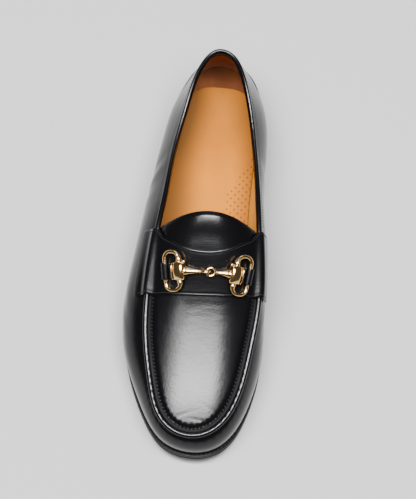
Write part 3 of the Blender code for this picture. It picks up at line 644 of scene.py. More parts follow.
FACING_ROWS = 4
APRON = 1.8
TONGUE_REACH = 6.4
TONGUE_TIP = 2.4
TONGUE_START, TONGUE_CORNER = 4.4, 6.2
SEWING_PITCH = 5.5
COLLAR_ROW, COLLAR_ROW_START = 4.6, 160.0
RIM_STEPS = 480
RIM_X = ring_column("rim_out", "rim_in")
RIM_Z = ring_column("rise_out", "rise_in")
CROWN = ring_column("crown", "crown")
LEAN = ring_column("lean_out", "lean_in")


def rim(at):
    """Plan points on the rim, the line at the middle of the bead."""
    return np.stack([RIM_X(at), along_ring(at, RIM_TOE, RIM_HEEL)], -1)


def top_height(x, y):
    """Height of the apron over a plan point: a parabola across, from rim to rim."""
    at = ring_at(y, RIM_TOE, RIM_HEEL)
    left, right = RIM_X(at), RIM_X(ROUND - at)
    share = (x - left) / np.maximum(right - left, 1e-6)
    base = RIM_Z(at) + (RIM_Z(ROUND - at) - RIM_Z(at)) * share
    return base + CROWN(at) * (right - left) ** 2 * share * (1.0 - share)


def top_normal(x, y):
    """Unit normal of the apron surface, from small steps along and across."""
    step = 0.05
    dx = (top_height(x + step, y) - top_height(x - step, y)) / (2 * step)
    dy = (top_height(x, y + step) - top_height(x, y - step)) / (2 * step)
    normal = np.stack([-dx, -dy, np.ones_like(dx)], -1)
    return normal / np.linalg.norm(normal, axis=-1)[..., None]


def grid_normals(grid, around=True):
    """Unit normals of a grid of points, from its neighbours; around says that its columns close."""
    if around:
        wide = np.concatenate([grid[:, -1:], grid, grid[:, :1]], 1)
        across = (wide[:, 2:] - wide[:, :-2]) / 2.0
    else:
        across = np.gradient(grid, axis=1)
    down = np.gradient(grid, axis=0)
    normal = np.cross(across, down)
    size = np.linalg.norm(normal, axis=-1)[..., None]
    return normal / np.maximum(size, 1e-9)


class Last:
    """The upper's lines at a set of ring positions: its foot on the welt, its wall and its rim."""

    def __init__(self, at):
        self.at = np.asarray(at, float)
        fine = np.arange(0.0, ROUND, 0.02)
        self.foot_out = self.normals_at(sole_edge(fine), fine)
        self.rim_out = self.normals_at(rim(fine), fine)
        foot = sole_edge(self.at) - self.foot_out * MARGIN(self.at)[:, None]
        self.foot = raised(foot, tread(foot[:, 1]) + OUTSOLE + WELT + GAP)
        self.rim = raised(rim(self.at), RIM_Z(self.at))
        narrowing = smooth((self.rim[:, 1] - COLLAR_START) / COLLAR_TAPER)
        self.bead = BEAD_RADIUS + (COLLAR_RADIUS - BEAD_RADIUS) * narrowing

    def normals_at(self, points, fine):
        """Outward unit normals of a fine plan curve at the line's own ring positions."""
        normals = plan_normals(points)
        joined = np.stack([np.interp(self.at, fine, normals[:, k], period=ROUND) for k in range(2)], 1)
        return joined / np.linalg.norm(joined, axis=1)[:, None]

    def around_rim(self, reach, angle):
        """Points at a distance from the rim line, turned by angle in degrees from outwards towards up."""
        turn = math.radians(angle)
        reach = np.broadcast_to(reach, self.at.shape)
        return self.rim + raised(self.rim_out * (reach * math.cos(turn))[:, None], reach * math.sin(turn))

    def wall(self, share):
        """Bezier curve from the foot, swelling by flare, to just under the bead, standing out by lean."""
        start = self.foot
        end = self.around_rim(self.bead, WALL_END_ANGLE)
        tall = (end - start)[:, 2]
        apart = ((start - end)[:, :2] * self.rim_out).sum(1)
        rounder = SHOULDER * np.maximum(apart + FLARE(self.at), 0.0)
        rounder *= smooth((SHOULDER_END - start[:, 1]) / SHOULDER_FADE)
        first = start + raised(self.foot_out * (FLARE(self.at) - 0.5 * rounder)[:, None], FOOT_HANDLE * tall)
        second = end + raised(self.rim_out * (LEAN(self.at) + rounder)[:, None], -RIM_HANDLE * tall)
        b = np.asarray(share, float)[..., None, None] if np.ndim(share) else share
        a = 1.0 - b
        return a**3 * start + 3 * a * a * b * first + 3 * a * b * b * second + b**3 * end


# One row for each crease of the side wall: its side, where it is along the shoe and above the floor, its
# reach along and across its own line, how deep it is and how far its line is turned from level, in degrees.
Crease = namedtuple("Crease", "side along height long wide depth turn")
WALL_CREASES = [
    Crease(-1, 206.0, 44.0, 16.0, 4.0, 0.55, 62.0),
    Crease(-1, 190.0, 40.0, 14.0, 5.0, 0.30, 70.0),
    Crease(-1, 104.0, 32.0, 18.0, 4.5, 0.28, -12.0),
    Crease(-1, 92.0, 25.0, 15.0, 4.0, 0.22, -20.0),
    Crease(1, 100.0, 34.0, 17.0, 4.5, 0.28, -14.0),
    Crease(1, 88.0, 26.0, 14.0, 4.0, 0.20, -22.0),
    Crease(1, 208.0, 46.0, 17.0, 5.0, 0.40, 60.0),
]


def creased(grid, normals, side_of):
    """Moves wall points in along their normals by each crease: a Gaussian trough turned to its own line.

    A ridge 0.45 times as high runs beside each trough, 1.7 widths from it, where the leather folds over.
    """
    depth = np.zeros(grid.shape[:2])
    for c in WALL_CREASES:
        a, b = turned(grid[..., 1] - c.along, grid[..., 2] - c.height, c.turn)
        across = np.exp(-((b / c.wide) ** 2)) - 0.45 * np.exp(-((b / c.wide - 1.7) ** 2))
        depth += c.depth * np.exp(-((a / c.long) ** 2)) * across * (np.sign(side_of) == c.side)
    return grid - normals * depth[..., None]


rim_at = np.arange(RIM_STEPS) * ROUND / RIM_STEPS
last = Last(rim_at)
rim_run = np.concatenate([[0.0], np.cumsum(np.linalg.norm(np.diff(last.rim, axis=0), axis=1))])
rim_y = last.rim[:, 1]
front = smooth((COLLAR_START - rim_y) / COLLAR_BLEND)
gather = np.cos(2.0 * math.pi * rim_run / SEWING_PITCH) * smooth((GATHERS_END - rim_y) / GATHERS_FADE)


def outward(sheet):
    """A wall grid's unit normals, turned away from the foot."""
    normals = grid_normals(sheet)
    return normals * np.sign(np.median((normals[..., :2] * last.foot_out).sum(-1)))


# Side wall, from the welt up to the shoulder line beside the bead
wall_shares = np.linspace(0.0, 1.0, 30)
wall = last.wall(wall_shares)
wall_out = outward(wall)
wall = creased(wall, wall_out, wall[..., 0] - 0.5 * (RIM_X(rim_at) + RIM_X(ROUND - rim_at)))
below_bead = np.linalg.norm(wall - wall[-1], axis=-1)
tuck = -TUCK * np.exp(-(((below_bead - 0.8) / 0.8) ** 2))
pleats = PLEAT * gather * np.exp(-(((below_bead - 2.5) / 2.6) ** 2))
wall = wall + wall_out * (tuck + pleats)[..., None]
foot_tuck = np.exp(-((wall_shares / 0.03) ** 2))[:, None, None]
wall = wall - wall_out * 0.35 * foot_tuck

# Bead: a half round whose radius swells a little between one gather and the next
bead_angles = np.linspace(WALL_END_ANGLE, 168.0, 18)[1:]
swells = [SWELL * gather * math.sin(math.radians(max(angle, 0.0))) for angle in bead_angles]
bead = np.array([last.around_rim(last.bead + swell, angle) for swell, angle in zip(swells, bead_angles)])

# Groove beside the apron in front, rolled inner lip along the collar
reach = COLLAR_REACH + (GROOVE_REACH - COLLAR_REACH) * front
groove_plan = last.rim[:, :2] - last.rim_out * reach[:, None]
seam = top_height(groove_plan[:, 0], groove_plan[:, 1]) - GROOVE_DEPTH
roll = last.rim[:, 2] - COLLAR_DROP
groove = raised(groove_plan, roll + (seam - roll) * front - PULL * gather)
dip = np.array([0.3, 0.62, 0.86])[:, None, None]
valley = bead[-1] + (groove - bead[-1]) * dip
valley[..., 2] -= VALLEY * front * (4.0 * dip * (1.0 - dip))[..., 0]

# Inner face: down from the collar, or from under the apron, to the foot of the wall
corner_plan = last.rim[:, :2] - last.rim_out * (0.7 + 1.6 * front)[:, None]
corner = raised(corner_plan, last.rim[:, 2] - 3.4 - 0.4 * front)
inner = last.wall(np.linspace(0.87, 0.0, 18))
inner = inner - outward(inner) * WALL
inner[-1, :, 2] = last.foot[:, 2]
lip_turn = np.linspace(0.0, 1.0, 8)[:, None, None]
lip = groove + (corner - groove) * (1.0 - np.cos(math.pi * lip_turn)) / 2.0
behind = smooth((rim_at - TONGUE_CORNER) / 0.6) * smooth((ROUND - TONGUE_CORNER - rim_at) / 0.6)
lip = lip - raised(last.rim_out, 0.0) * (0.55 * np.sin(math.pi * lip_turn[..., 0]) * behind)[..., None]

# Apron and tongue: rows across from groove to groove, over the top, round the free edge and back under
tongue_step = int(round(TONGUE_CORNER * RIM_STEPS / ROUND))
across = 0.5 - 0.5 * np.cos(np.linspace(0.0, math.pi, 61))
across = 0.35 * across + 0.65 * np.linspace(0.0, 1.0, 61)
arch = 4.0 * across * (1.0 - across)


def both_sides(line):
    """A ring line's points beside the apron, on the outer side and, in step, on the inner side."""
    steps = np.arange(tongue_step + 1)
    return line[steps], line[-steps % RIM_STEPS]


left, right = both_sides(groove)
reach = TONGUE_REACH * smooth((rim_at[: tongue_step + 1] - TONGUE_START) / (TONGUE_CORNER - TONGUE_START))
x = left[:, :1] + (right[:, :1] - left[:, :1]) * across
y = left[:, 1:2] + (right[:, 1:2] - left[:, 1:2]) * across + reach[:, None] * arch
apart = np.hypot(x.reshape(-1, 1) - groove[:, 0], y.reshape(-1, 1) - groove[:, 1])
nearest = apart.argmin(1).reshape(x.shape)
inside = apart.min(1).reshape(x.shape)
sunk = GROOVE_DEPTH * np.exp(-((inside / 1.9) ** 2)) * front[nearest]
pull = (PULL + 0.16 * smooth((60.0 - y) / 40.0)) * gather[nearest] * front[nearest]
sunk += pull * np.exp(-((inside / 2.4) ** 2))

# Shallow creases of the apron: each one's place, its reach across and along, its depth and a small turn
Fold = namedtuple("Fold", "x y wide long depth turn")
APRON_FOLDS = [
    Fold(4.0, 101.0, 15.0, 1.1, 0.10, 3.0),
    Fold(-8.0, 97.5, 12.0, 1.0, 0.08, -4.0),
    Fold(12.0, 95.0, 10.0, 0.9, 0.07, 6.0),
    Fold(-2.0, 92.5, 9.0, 0.9, 0.05, 2.0),
    Fold(-10.0, 24.0, 9.0, 1.2, 0.08, 20.0),
    Fold(3.0, 20.5, 10.0, 1.2, 0.09, -4.0),
    Fold(12.0, 28.0, 8.0, 1.2, 0.08, -24.0),
    Fold(0.0, 147.0, 16.0, 1.6, 0.10, 0.0),
]
for f in APRON_FOLDS:
    a, b = turned(x - f.x, y - f.y, f.turn)
    sunk += f.depth * np.exp(-((a / f.wide) ** 2) - (b / f.long) ** 2)
from_edge = y[-1] - y
tipped = TONGUE_TIP * smooth((19.0 - from_edge) / 17.5) * arch
rolled = 0.9 * np.clip((2.2 - from_edge) / 2.2, 0.0, 1.0) ** 2 * np.minimum(1.0, 2.0 * arch)
body = top_height(x, y) + tipped
apron_z = body - sunk - rolled
apron_z[:, 0], apron_z[:, -1] = left[:, 2], right[:, 2]
apron = np.stack([x, y, apron_z], -1)
under = np.stack([x, y, body - APRON / top_normal(x, y)[..., 2]], -1)
under[:, 0], under[:, -1] = both_sides(corner)
turned_edge = []
for turn in np.linspace(0.0, math.pi, 8)[1:-1]:
    row = apron[-1] + (under[-1] - apron[-1]) * (1.0 - math.cos(turn)) / 2.0
    row[:, 1] += 0.75 * math.sin(turn) * np.minimum(1.0, 1.5 * arch)
    turned_edge.append(row)
tongue_sheet = np.concatenate([apron, np.array(turned_edge), under[::-1]])


def box_calf(wire, place):
    """Polished box calf: a tight grain of tiny plates, finer wrinkles, soft waves and uneven wax."""
    cells = {"Vector": place, "Scale": 950.0, "Smoothness": 0.6}
    plates = wire.add("ShaderNodeTexVoronoi", {"feature": "SMOOTH_F1"}, cells)
    wrinkles = wire.noise(place, 420.0, 5.0, 0.62)
    clouds = wire.noise(place, 38.0, 3.0)
    waves = wire.noise(place, 150.0, 2.0)
    relief = plates * 0.35 + wrinkles * 0.65 + waves * 0.7
    return {"Roughness": 0.16 + clouds * 0.1, "Normal": shallow(wire, relief, 0.00012, 0.65)}


CALF_GLOSS = {"Base Color": (0.0016, 0.0016, 0.002, 1.0), "Specular IOR Level": 0.27}
black_calf = finish("black_box_calf", CALF_GLOSS, box_calf)


def lining_calf(wire, place):
    """Tan lining at the sides that turns brown over a millimetre, about 29 mm ahead of the sock's back."""
    made = tan_calf(wire, place, (0.42, 0.165, 0.022), (0.48, 0.20, 0.032))
    _, y = wire.axes(place)
    brown = wire.blend(wire.noise(place, 70.0, 3.0), (0.33, 0.130, 0.068), (0.40, 0.165, 0.092))
    made["Base Color"] = wire.blend((y - 0.100).between(-0.0006, 0.0006), made["Base Color"], brown)
    return made


def unbuffed_calf(wire, place):
    """The calf down in the seam, dulled by dry wax that no brush reaches: rough, in soft clouds."""
    return {"Roughness": 0.5 + wire.noise(place, 60.0, 3.0) * 0.25}


side_lining = finish("side_lining_calf", CALF, lining_calf)
seam_calf = finish("seam_calf", {**CALF_GLOSS, "Specular IOR Level": 0.1}, unbuffed_calf)
round_collar = np.arange(tongue_step, RIM_STEPS - tongue_step + 1)
outside = np.concatenate([wall, bead, valley, groove[None]])
in_seam = (np.arange(len(outside) - 1) >= len(wall) + len(bead) - 1)[:, None] & (rim_y < SEAM_END)
upper = piece(
    "upper_calf",
    [
        (outside, False, True, np.where(in_seam, 2, 0)),
        (lip[:, round_collar], False, False, 0),
        (tongue_sheet, False, False, 0),
        (np.concatenate([corner[None], inner[:FACING_ROWS]]), False, True, 0),
        (inner[FACING_ROWS - 1 :], False, True, 1),
        (np.stack([inner[-1], wall[0]]), False, True, 0),
    ],
    [black_calf, side_lining, seam_calf],
)
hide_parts("upper")

# Hand sewing in the groove: thick waxed stitches lying across it, two to each gather
sewn = from_inner_side(rim_at, rim_y < SEAM_END)
sew_line = groove[sewn] - np.array([0.0, 0.0, 0.06])
sew_up = top_normal(groove[sewn, 0], groove[sewn, 1])
hand_sewing = stitches("hand_sewing", sew_line, sew_up, SEWING_PITCH / 2.0, 2.1, 0.36, tilt=64.0)


def between_rows(grid, level, columns):
    """Points on a grid's columns at fractional row numbers."""
    low = np.clip(level.astype(int), 0, len(grid) - 2)
    part = (level - low)[:, None]
    return grid[low, columns] * (1.0 - part) + grid[low + 1, columns] * part


# Machine row below the rolled collar
collar = np.where(rim_y > COLLAR_ROW_START)[0]
top_run = np.linalg.norm(wall[-1] - wall[-8], axis=-1)[collar] / 7.0
level = len(wall) - 1 - COLLAR_ROW / top_run
collar_line, collar_up = between_rows(wall, level, collar), wall_out[level.astype(int), collar]
collar_stitching = stitches("collar_stitching", collar_line, collar_up, 2.2, 1.7, 0.2)


# The saddle is one strap of the same calf laid over the apron and both beads, its edges turned and
# stitched, its ends caught down in the wall just below the beads.
SADDLE_FRONT, SADDLE_FRONT_SWEEP = 106.0, 2.8
SADDLE_BACK, SADDLE_BACK_SWEEP = 135.6, 18.5
SADDLE_TILT = 1.1
SADDLE = 1.5
SADDLE_EASE = 0.2
SADDLE_COLUMNS, SADDLE_ROWS = 161, 49
FRONT_ROW, BACK_ROW = 2.1, 2.0


def saddle_edges(share):
    """Front and back edges of the saddle along the shoe, for a share across from -1 to 1."""
    tilt = SADDLE_TILT * share
    front_edge = SADDLE_FRONT + SADDLE_FRONT_SWEEP * share**2 + tilt
    return front_edge, SADDLE_BACK + SADDLE_BACK_SWEEP * share**2 + tilt


def saddle_face(lift, down):
    """The strap's face at a lift over the upper: a spline across through wall, bead and apron points.

    down is the shares along the strap from its front edge to its back edge. The result has one row for
    each of them and evenly spaced columns from the outer end to the inner end.
    """
    height = lift + SADDLE_EASE
    ends = []
    for share in (-1.0, 1.0):
        front_y, back_y = saddle_edges(share)
        at = ring_at(front_y + (back_y - front_y) * down, RIM_TOE, RIM_HEEL)
        line = Last(at if share < 0.0 else ROUND - at)
        sheet = line.wall(np.array([0.80, 0.84, 0.88, 0.92, 0.96]))
        out = grid_normals(sheet, around=False)
        out = out * np.sign((out[..., :2] * line.foot_out).sum(-1))[..., None]
        column = [sheet[k] + out[k] * height for k in (1, 3)]
        column += [line.around_rim(line.bead + height, a) for a in (5.0, 42.0, 76.0)]
        ends.append(column)
    middle = []
    for share in (-0.88, -0.72, -0.5, -0.25, 0.0, 0.25, 0.5, 0.72, 0.88):
        low, high = saddle_edges(share)
        y = low + (high - low) * down
        here = ring_at(y, RIM_TOE, RIM_HEEL)
        x = RIM_X(here) + (RIM_X(ROUND - here) - RIM_X(here)) * (1.0 + share) / 2.0
        middle.append(np.stack([x, y, top_height(x, y)], 1) + top_normal(x, y) * height)
    knots = np.array(ends[0] + middle + ends[1][::-1])
    run = np.linalg.norm(np.diff(knots[:, len(down) // 2], axis=0), axis=1)
    run = np.concatenate([[0.0], np.cumsum(run)])
    curve = open_spline(list(zip(run, knots)))
    return np.swapaxes(curve(np.linspace(0.0, run[-1], SADDLE_COLUMNS)), 0, 1)


def quarter_round(away, radius):
    """Rises along a quarter circle, from 0 at an edge to 1 at a radius from it."""
    share = np.clip(away / radius, 0.0, 1.0)
    return np.sqrt(share * (2.0 - share))


def sheet_patches(over, under):
    """The patches of a sheet: its two faces and the four strips that join their edges."""
    strips = [np.stack([over[k], under[k]]) for k in (0, -1)]
    strips += [np.stack([over[:, k], under[:, k]]) for k in (0, -1)]
    return [(grid, False, False, 0) for grid in (over, under, *strips)]


down = np.linspace(0.0, 1.0, SADDLE_ROWS)
over, under = saddle_face(GAP + SADDLE, down), saddle_face(GAP, down)
middle, thick = (over + under) / 2.0, (over - under) / 2.0
thick_out = thick / np.linalg.norm(thick, axis=-1)[..., None]
strap_length = np.linalg.norm(middle[-1] - middle[0], axis=-1)
from_front = down[:, None] * strap_length
from_back = (1.0 - down)[:, None] * strap_length
furrows = 0.17 * np.exp(-(((from_front - FRONT_ROW) / 0.55) ** 2))
furrows += 0.08 * np.exp(-(((from_back - BACK_ROW) / 0.55) ** 2))
edge_roll = 0.1 * np.exp(-(((from_back - 0.9) / 0.7) ** 2))
over = over + thick_out * (edge_roll - furrows)[..., None]
columns = np.arange(SADDLE_COLUMNS)
from_end = np.minimum(columns, columns[::-1]) * 0.62
rounding = quarter_round(np.minimum(from_front, from_back), 0.7) * quarter_round(from_end, 0.9)
top_face, under_face = (middle + (f - middle) * (0.35 + 0.65 * rounding)[..., None] for f in (over, under))


def saddle_calf(wire, place):
    """The same calf, flatter and a touch less polished, with fine creases across its length."""
    made = box_calf(wire, place)
    stretched = wire.add("ShaderNodeMapping", None, {"Vector": place, "Scale": (0.35, 1.6, 1.0)})
    creases = wire.noise(stretched, 320.0, 4.0, 0.6)
    made["Normal"] = shallow(wire, creases, 0.00007, 0.6)
    made["Roughness"] = 0.17 + creases * 0.08
    return made


strap_calf = finish("saddle_calf", CALF_GLOSS, saddle_calf)
saddle = piece("saddle_calf_strap", sheet_patches(top_face, under_face), [strap_calf])
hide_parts("saddle_strap")


def saddle_row(name, share):
    """A machine row on the saddle's face, at a share of its length from the front edge in each column."""
    level = share * (SADDLE_ROWS - 1)
    line, up = between_rows(top_face, level, columns), thick_out[level.astype(int), columns]
    stitches(name, line[6:-6], up[6:-6], 1.9, 1.45, 0.26)


saddle_row("saddle_front_row", FRONT_ROW / strap_length)
saddle_row("saddle_back_row", 1.0 - BACK_ROW / strap_length)


# The snaffle bit is cast brass, polished and plated pale gold: two flaring half bars whose eyes link at the
# middle, each ending in a shield-shaped barrel, and a long rounded ring through each barrel.
BIT_LINE = 122.8
BIT_SIDES = {"outer": (-1, -0.45, -17.4), "inner": (1, 2.8, 18.4)}
EYE_RADIUS, EYE_WIRE, EYE_LIFT = 2.9, 0.8, 4.1
BARREL_LIFT = 5.1
BARREL = [(-6.9, 2.6), (-6.75, 3.4), (-6.2, 4.0), (-5.0, 4.3), (-3.0, 4.45), (0.0, 4.5)]
BAR_AT_EYE = [(-0.3, 0.75), (0.5, 1.15), (1.3, 1.75), (2.1, 1.2), (2.8, 1.3), (5.0, 1.7)]
BAR_AT_BARREL = [(5.6, 2.95), (4.4, 3.45), (3.2, 3.5), (2.6, 3.1)]
KNOB = [(-1.3, 0.02), (-1.1, 0.75), (-0.6, 1.2), (0.0, 1.35), (0.6, 1.2), (1.1, 0.75), (1.3, 0.02)]
RING_WIRE, RING_LENGTH, RING_WIDTH, RING_SHOULDER = 1.4, 27.6, 12.0, 5.2
RUN_LIFT = 2.6


def plated(wire, place):
    """Pale gold plate: polished, with hairline rubbing marks and slightly uneven buffing."""
    hair = wire.add("ShaderNodeMapping", None, {"Vector": place, "Scale": (1.0, 6.0, 1.0)})
    marks = wire.noise(hair, 900.0, 3.0, 0.7)
    clouds = wire.noise(place, 240.0, 2.0)
    colour = wire.blend(clouds, (0.80, 0.50, 0.19), (0.87, 0.60, 0.29))
    relief = shallow(wire, marks, 0.000012, 0.4)
    return {"Base Color": colour, "Roughness": 0.09 + marks * 0.1, "Normal": relief}


gold_plate = finish("pale_gold_plate", {"Metallic": 1.0}, plated)


def saddle_normal(x):
    """The saddle's unit normal on the bit's line, at x across."""
    return Vector(top_normal(np.array([x]), np.array([BIT_LINE]))[0])


def on_saddle(x, lift):
    """A point over the saddle's face on the bit's line, at x across."""
    height = float(top_height(np.array([x]), np.array([BIT_LINE]))[0])
    return Vector((x, BIT_LINE, height)) + saddle_normal(x) * (GAP + SADDLE + lift)


def placed(grid, origin, across, along):
    """Grid points from a local frame (X across, Y along, Z square to both) into the layout."""
    axes = np.array([across, along, across.cross(along)])
    return np.asarray(origin) + grid @ axes


def ring_axes(side, barrel_x):
    """Origin and axes of a ring: from its barrel, across pointing to where the loop holds its outer run."""
    start = on_saddle(barrel_x, BARREL_LIFT)
    across = (on_saddle(barrel_x + side * RING_WIDTH, RUN_LIFT) - start).normalized()
    return start, across, saddle_normal(barrel_x).cross(across).normalized()


def tube(path, radius, up, sides=20):
    """A round tube on a closed path of points that lies in a plane with normal up: (points, sides, 3)."""
    ahead = np.roll(path, -1, 0) - np.roll(path, 1, 0)
    ahead /= np.linalg.norm(ahead, axis=1)[:, None]
    side = np.cross(ahead, up)
    spin = np.arange(sides) * 2.0 * math.pi / sides
    radius = np.broadcast_to(radius, (len(path),))[:, None, None]
    offset = side[:, None] * np.cos(spin)[:, None] + np.asarray(up) * np.sin(spin)[:, None]
    return path[:, None] + radius * offset


def lathe(stations, sides=36):
    """A solid of revolution about local X from (x, radius) stations on a smooth spline: (rows, sides, 3)."""
    curve = open_spline(list(enumerate(stations)))
    x, r = curve(np.linspace(0.0, len(stations) - 1.0, 6 * len(stations))).T
    spin = np.arange(sides) * 2.0 * math.pi / sides
    r = np.maximum(r, 0.02)[:, None]
    return np.stack([np.outer(x, np.ones(sides)), r * np.cos(spin), r * np.sin(spin)], -1)


def squared_circle(count, power):
    """The two coordinates of points round a superellipse: cosine and sine, each raised to a power."""
    spin = np.arange(count) * 2.0 * math.pi / count
    return [np.sign(v) * np.abs(v) ** power for v in (np.cos(spin), np.sin(spin))]


def barrel_form():
    """The shield-shaped barrel: a superellipse across, carried along Y, with lipped ends and a domed face."""
    y, size = np.array(BARREL + [(-y, r) for y, r in BARREL[-2::-1]]).T
    across, up = squared_circle(40, 2.0 / 3.4)
    tall = size - 0.25 - 0.032 * y**2
    return np.stack([np.outer(size, across), np.outer(y, np.ones(40)), np.outer(tall, up)], -1)


def hoop(across, along, radius, axis, at, sides):
    """A round wire bent round local axis 0, 1 or 2, at a distance along it, on a closed plan line."""
    path = np.insert(np.stack([across, along], -1), axis, at, axis=1)
    return tube(path, radius, np.eye(3)[axis], sides)


def ring_path():
    """A ring's middle line: a rectangle with round corners, its inner run on the local Y axis."""
    far, tall = RING_WIDTH - RING_SHOULDER, RING_LENGTH / 2.0 - RING_SHOULDER
    corners = np.array([(far, tall), (RING_SHOULDER, tall), (RING_SHOULDER, -tall), (far, -tall)])
    path = []
    for quarter, corner in enumerate(corners):
        turn = np.radians(90.0 * quarter + np.linspace(0.0, 90.0, 19))
        arc = corner + RING_SHOULDER * np.stack([np.cos(turn), np.sin(turn)], -1)
        step = corners[(quarter + 1) % 4] - corner
        count = max(int(np.linalg.norm(step) / 0.8), 2)
        path += [arc, arc[-1] + step * np.linspace(0.0, 1.0, count)[1:-1, None]]
    path = np.concatenate(path)
    return raised(path[np.linalg.norm(path - np.roll(path, 1, 0), axis=1) > 0.05], 0.0)


run = ring_path()
flare = np.exp(-(((np.abs(run[:, 1]) - 8.2) / 1.8) ** 2) - (run[:, 0] / 3.0) ** 2)
ring = tube(run, RING_WIRE + 0.6 * flare, np.array([0.0, 0.0, 1.0]), 24)
circle = squared_circle(40, 1.0)
eye_wire, collar_wire = (np.array(circle) * radius for radius in (EYE_RADIUS, 1.75))
rim_across, rim_up = squared_circle(48, 0.6)
for name, (side, eye_x, barrel_x) in BIT_SIDES.items():
    origin, ring_across, ring_along = ring_axes(side, barrel_x)
    eye = on_saddle(eye_x, EYE_LIFT)
    out, span = (origin - eye).normalized(), (origin - eye).length
    bar_along = saddle_normal(eye_x).cross(out).normalized()
    profile = [(EYE_RADIUS + x, r) for x, r in BAR_AT_EYE] + [(span - x, r) for x, r in BAR_AT_BARREL]
    knob = lathe(KNOB, 20) + np.array([-4.4, 6.6 * side, 0.4])
    solids = [placed(closed_ends(form), origin, ring_across, ring_along) for form in (barrel_form(), knob)]
    solids.append(placed(closed_ends(lathe(profile)), eye, out, bar_along))
    # The raised rim on the shield, a collar at each end of the barrel, then the eye, upright or lying flat
    hoops = [hoop(6.1 * rim_across, 3.9 * rim_up, 0.42, 0, 4.25, 10)]
    hoops += [hoop(*collar_wire, 0.62, 1, end * 6.75, 12) for end in (-1, 1)]
    hoops = [placed(h, origin, ring_across, ring_along) for h in hoops]
    hoops.append(placed(hoop(*eye_wire, EYE_WIRE, 1 if side < 0 else 2, 0.0, 14), eye, out, bar_along))
    patches = [(g, False, True, 0) for g in solids] + [(g, True, True, 0) for g in hoops]
    half_bit = piece(f"bit_half_{name}", patches, [gold_plate])
    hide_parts(f"bit_bar_{name}")
    ring_patch = (placed(ring, origin, ring_across, ring_along), True, True, 0)
    ring_piece = piece(f"snaffle_ring_{name}", [ring_patch], [gold_plate])
    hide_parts(f"bit_ring_{name}")


# Each ring is held by a loop of the same calf, folded over the ring's outer run and caught down on
# the saddle on both sides of it.
LOOP_WIDTH, LOOP_FOOT, LOOP_LIFT = 12.0, 4.4, 0.7


def loop_face(sign):
    """One face of a loop, outer for 1 and inner for -1: a spline over the ring, carried along local Y.

    The skin is 1 mm thick in the middle and thins to its edges along a quarter circle.
    """
    base = LOOP_LIFT - RUN_LIFT
    half = [(-LOOP_FOOT, base + 0.5), (-3.3, base + 0.75), (-2.45, base + 1.7), (-1.75, 1.4), (0.0, 2.2)]
    knots = half + [(-x, z) for x, z in half[-2::-1]]
    spine = open_spline(list(enumerate(knots)))(np.linspace(0.0, 8.0, 65))
    ahead = np.gradient(spine, axis=0)
    square = np.stack([-ahead[:, 1], ahead[:, 0]], 1)
    square /= np.linalg.norm(square, axis=1)[:, None]
    y = np.linspace(-1.0, 1.0, 33) * LOOP_WIDTH / 2.0
    lift = sign * (0.18 + 0.32 * quarter_round(LOOP_WIDTH / 2.0 - np.abs(y), 0.5))
    plan = spine[:, None] + square[:, None] * lift[:, None]
    return np.stack([plan[..., 0], np.broadcast_to(y, plan.shape[:2]), plan[..., 1]], -1)


for name, (side, eye_x, barrel_x) in BIT_SIDES.items():
    origin, ring_across, ring_along = ring_axes(side, barrel_x)
    run = origin + ring_across * RING_WIDTH
    loop_across = ring_along.cross(saddle_normal(run.x)).normalized()
    skin = [placed(loop_face(sign), run, loop_across, ring_along) for sign in (1.0, -1.0)]
    loop = piece(f"ring_loop_{name}", sheet_patches(*skin), [strap_calf])
    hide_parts(f"bit_loop_{name}")


# Floor, light and camera: a pale floor, six soft strips overhead that reach from above the shoe to a metre in
# front of it and dim on the way, faint boxes behind and beside, and a camera at the photograph's angle, from
# the toe's side at 71 degrees and rolled so that the toe leans to the left.
def pale_floor(wire, place):
    """Matt floor with a painted pool of light: palest round the shoe, falling off softly to a light grey
    along a squared oval.
    """
    haze = wire.noise(place, 2.0, 2.0)
    x, y = wire.axes(place)
    x, y = x * x, (y / 1.25) * (y / 1.25)
    away = wire.maths("POWER", x * x + y * y, 0.25)
    # Painted pool of light: the floor's colour falls from pale near the shoe to a darker grey further off.
    colour = wire.blend(away.between(0.19, 0.45), (0.34, 0.34, 0.342), (0.20, 0.20, 0.202))
    return {"Base Color": colour, "Roughness": 0.8 + haze * 0.1}


FLOOR = 6.0
floor_mesh = bpy.data.meshes.new("floor")
floor_corners = [(-FLOOR, -FLOOR, 0.0), (FLOOR, -FLOOR, 0.0), (FLOOR, FLOOR, 0.0), (-FLOOR, FLOOR, 0.0)]
floor_mesh.from_pydata(floor_corners, [], [(0, 1, 2, 3)])
floor_mesh.materials.append(finish("pale_floor", {"Specular IOR Level": 0.1}, pale_floor))
floor = bpy.data.objects.new("floor", floor_mesh)
floor.location.z = -0.0002
bpy.context.scene.collection.objects.link(floor)

world = bpy.data.worlds.new("studio")
world.use_nodes = True
sky = world.node_tree.nodes["Background"].inputs
sky["Color"].default_value, sky["Strength"].default_value = (1.0, 1.0, 1.0, 1.0), 0.08
bpy.context.scene.world = world


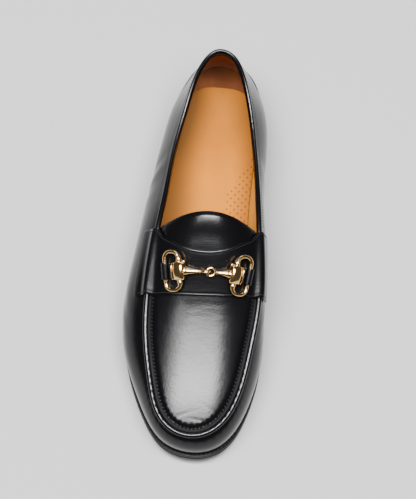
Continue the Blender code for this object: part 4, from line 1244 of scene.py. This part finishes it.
def soft_box(name, place, aim, width, depth, power):
    """A rectangular area light at place, facing aim."""
    light = bpy.data.lights.new(name, "AREA")
    light.shape, light.size, light.size_y, light.energy = "RECTANGLE", width, depth, power
    made = bpy.data.objects.new(name, light)
    made.location = place
    made.rotation_euler = (Vector(aim) - Vector(place)).to_track_quat("-Z", "Y").to_euler()
    bpy.context.scene.collection.objects.link(made)


BOX_HEIGHT, BOX_LENGTH, STRIPS = 2.6, 1.17, 6
for strip in range(STRIPS):
    share = (strip + 0.5) / STRIPS
    left, right = -0.58 - 0.66 * share, 0.97
    x, y = (left + right) / 2.0, -1.11 + BOX_LENGTH * share
    width, depth = right - left, BOX_LENGTH / STRIPS
    power = width * depth * math.pi * (6.0 + 92.0 * share**1.4)
    soft_box(f"overhead_strip_{strip + 1}", (x, y, BOX_HEIGHT), (x, y, 0.0), width, depth, power)
soft_box("back_box", (0.0, 2.2, 1.5), (0.0, 0.0, 0.05), 2.0, 1.2, 14.0)
soft_box("side_box", (-1.175, -0.525, BOX_HEIGHT), (-1.175, -0.525, 0.0), 0.65, BOX_LENGTH, 26.0)

ELEVATION = math.radians(71.0)
ROLL = math.atan2(28.0, 412.0)
DISTANCE = 2.2
FOCAL_PIXELS = 3031.9
LONG_SIDE = 499
lens = bpy.data.cameras.new("camera")
lens.sensor_width = 36.0
lens.lens = FOCAL_PIXELS / LONG_SIDE * lens.sensor_width
lens.clip_start, lens.clip_end = 0.1, 50.0
camera = bpy.data.objects.new("camera", lens)
back = Vector((0.0, -math.cos(ELEVATION), math.sin(ELEVATION)))
up = Vector((0.0, math.sin(ELEVATION), math.cos(ELEVATION)))
right = Vector((1.0, 0.0, 0.0))
axes = (right * math.cos(ROLL) + up * math.sin(ROLL), up * math.cos(ROLL) - right * math.sin(ROLL), back)
stand = Matrix(axes).transposed().to_4x4()
target = Vector((-SHOE_MIDDLE[0], 150.0 - SHOE_MIDDLE[1], 40.0)) * 0.001
stand.translation = target + back * DISTANCE
camera.matrix_world = stand
bpy.context.scene.collection.objects.link(camera)
bpy.context.scene.camera = camera
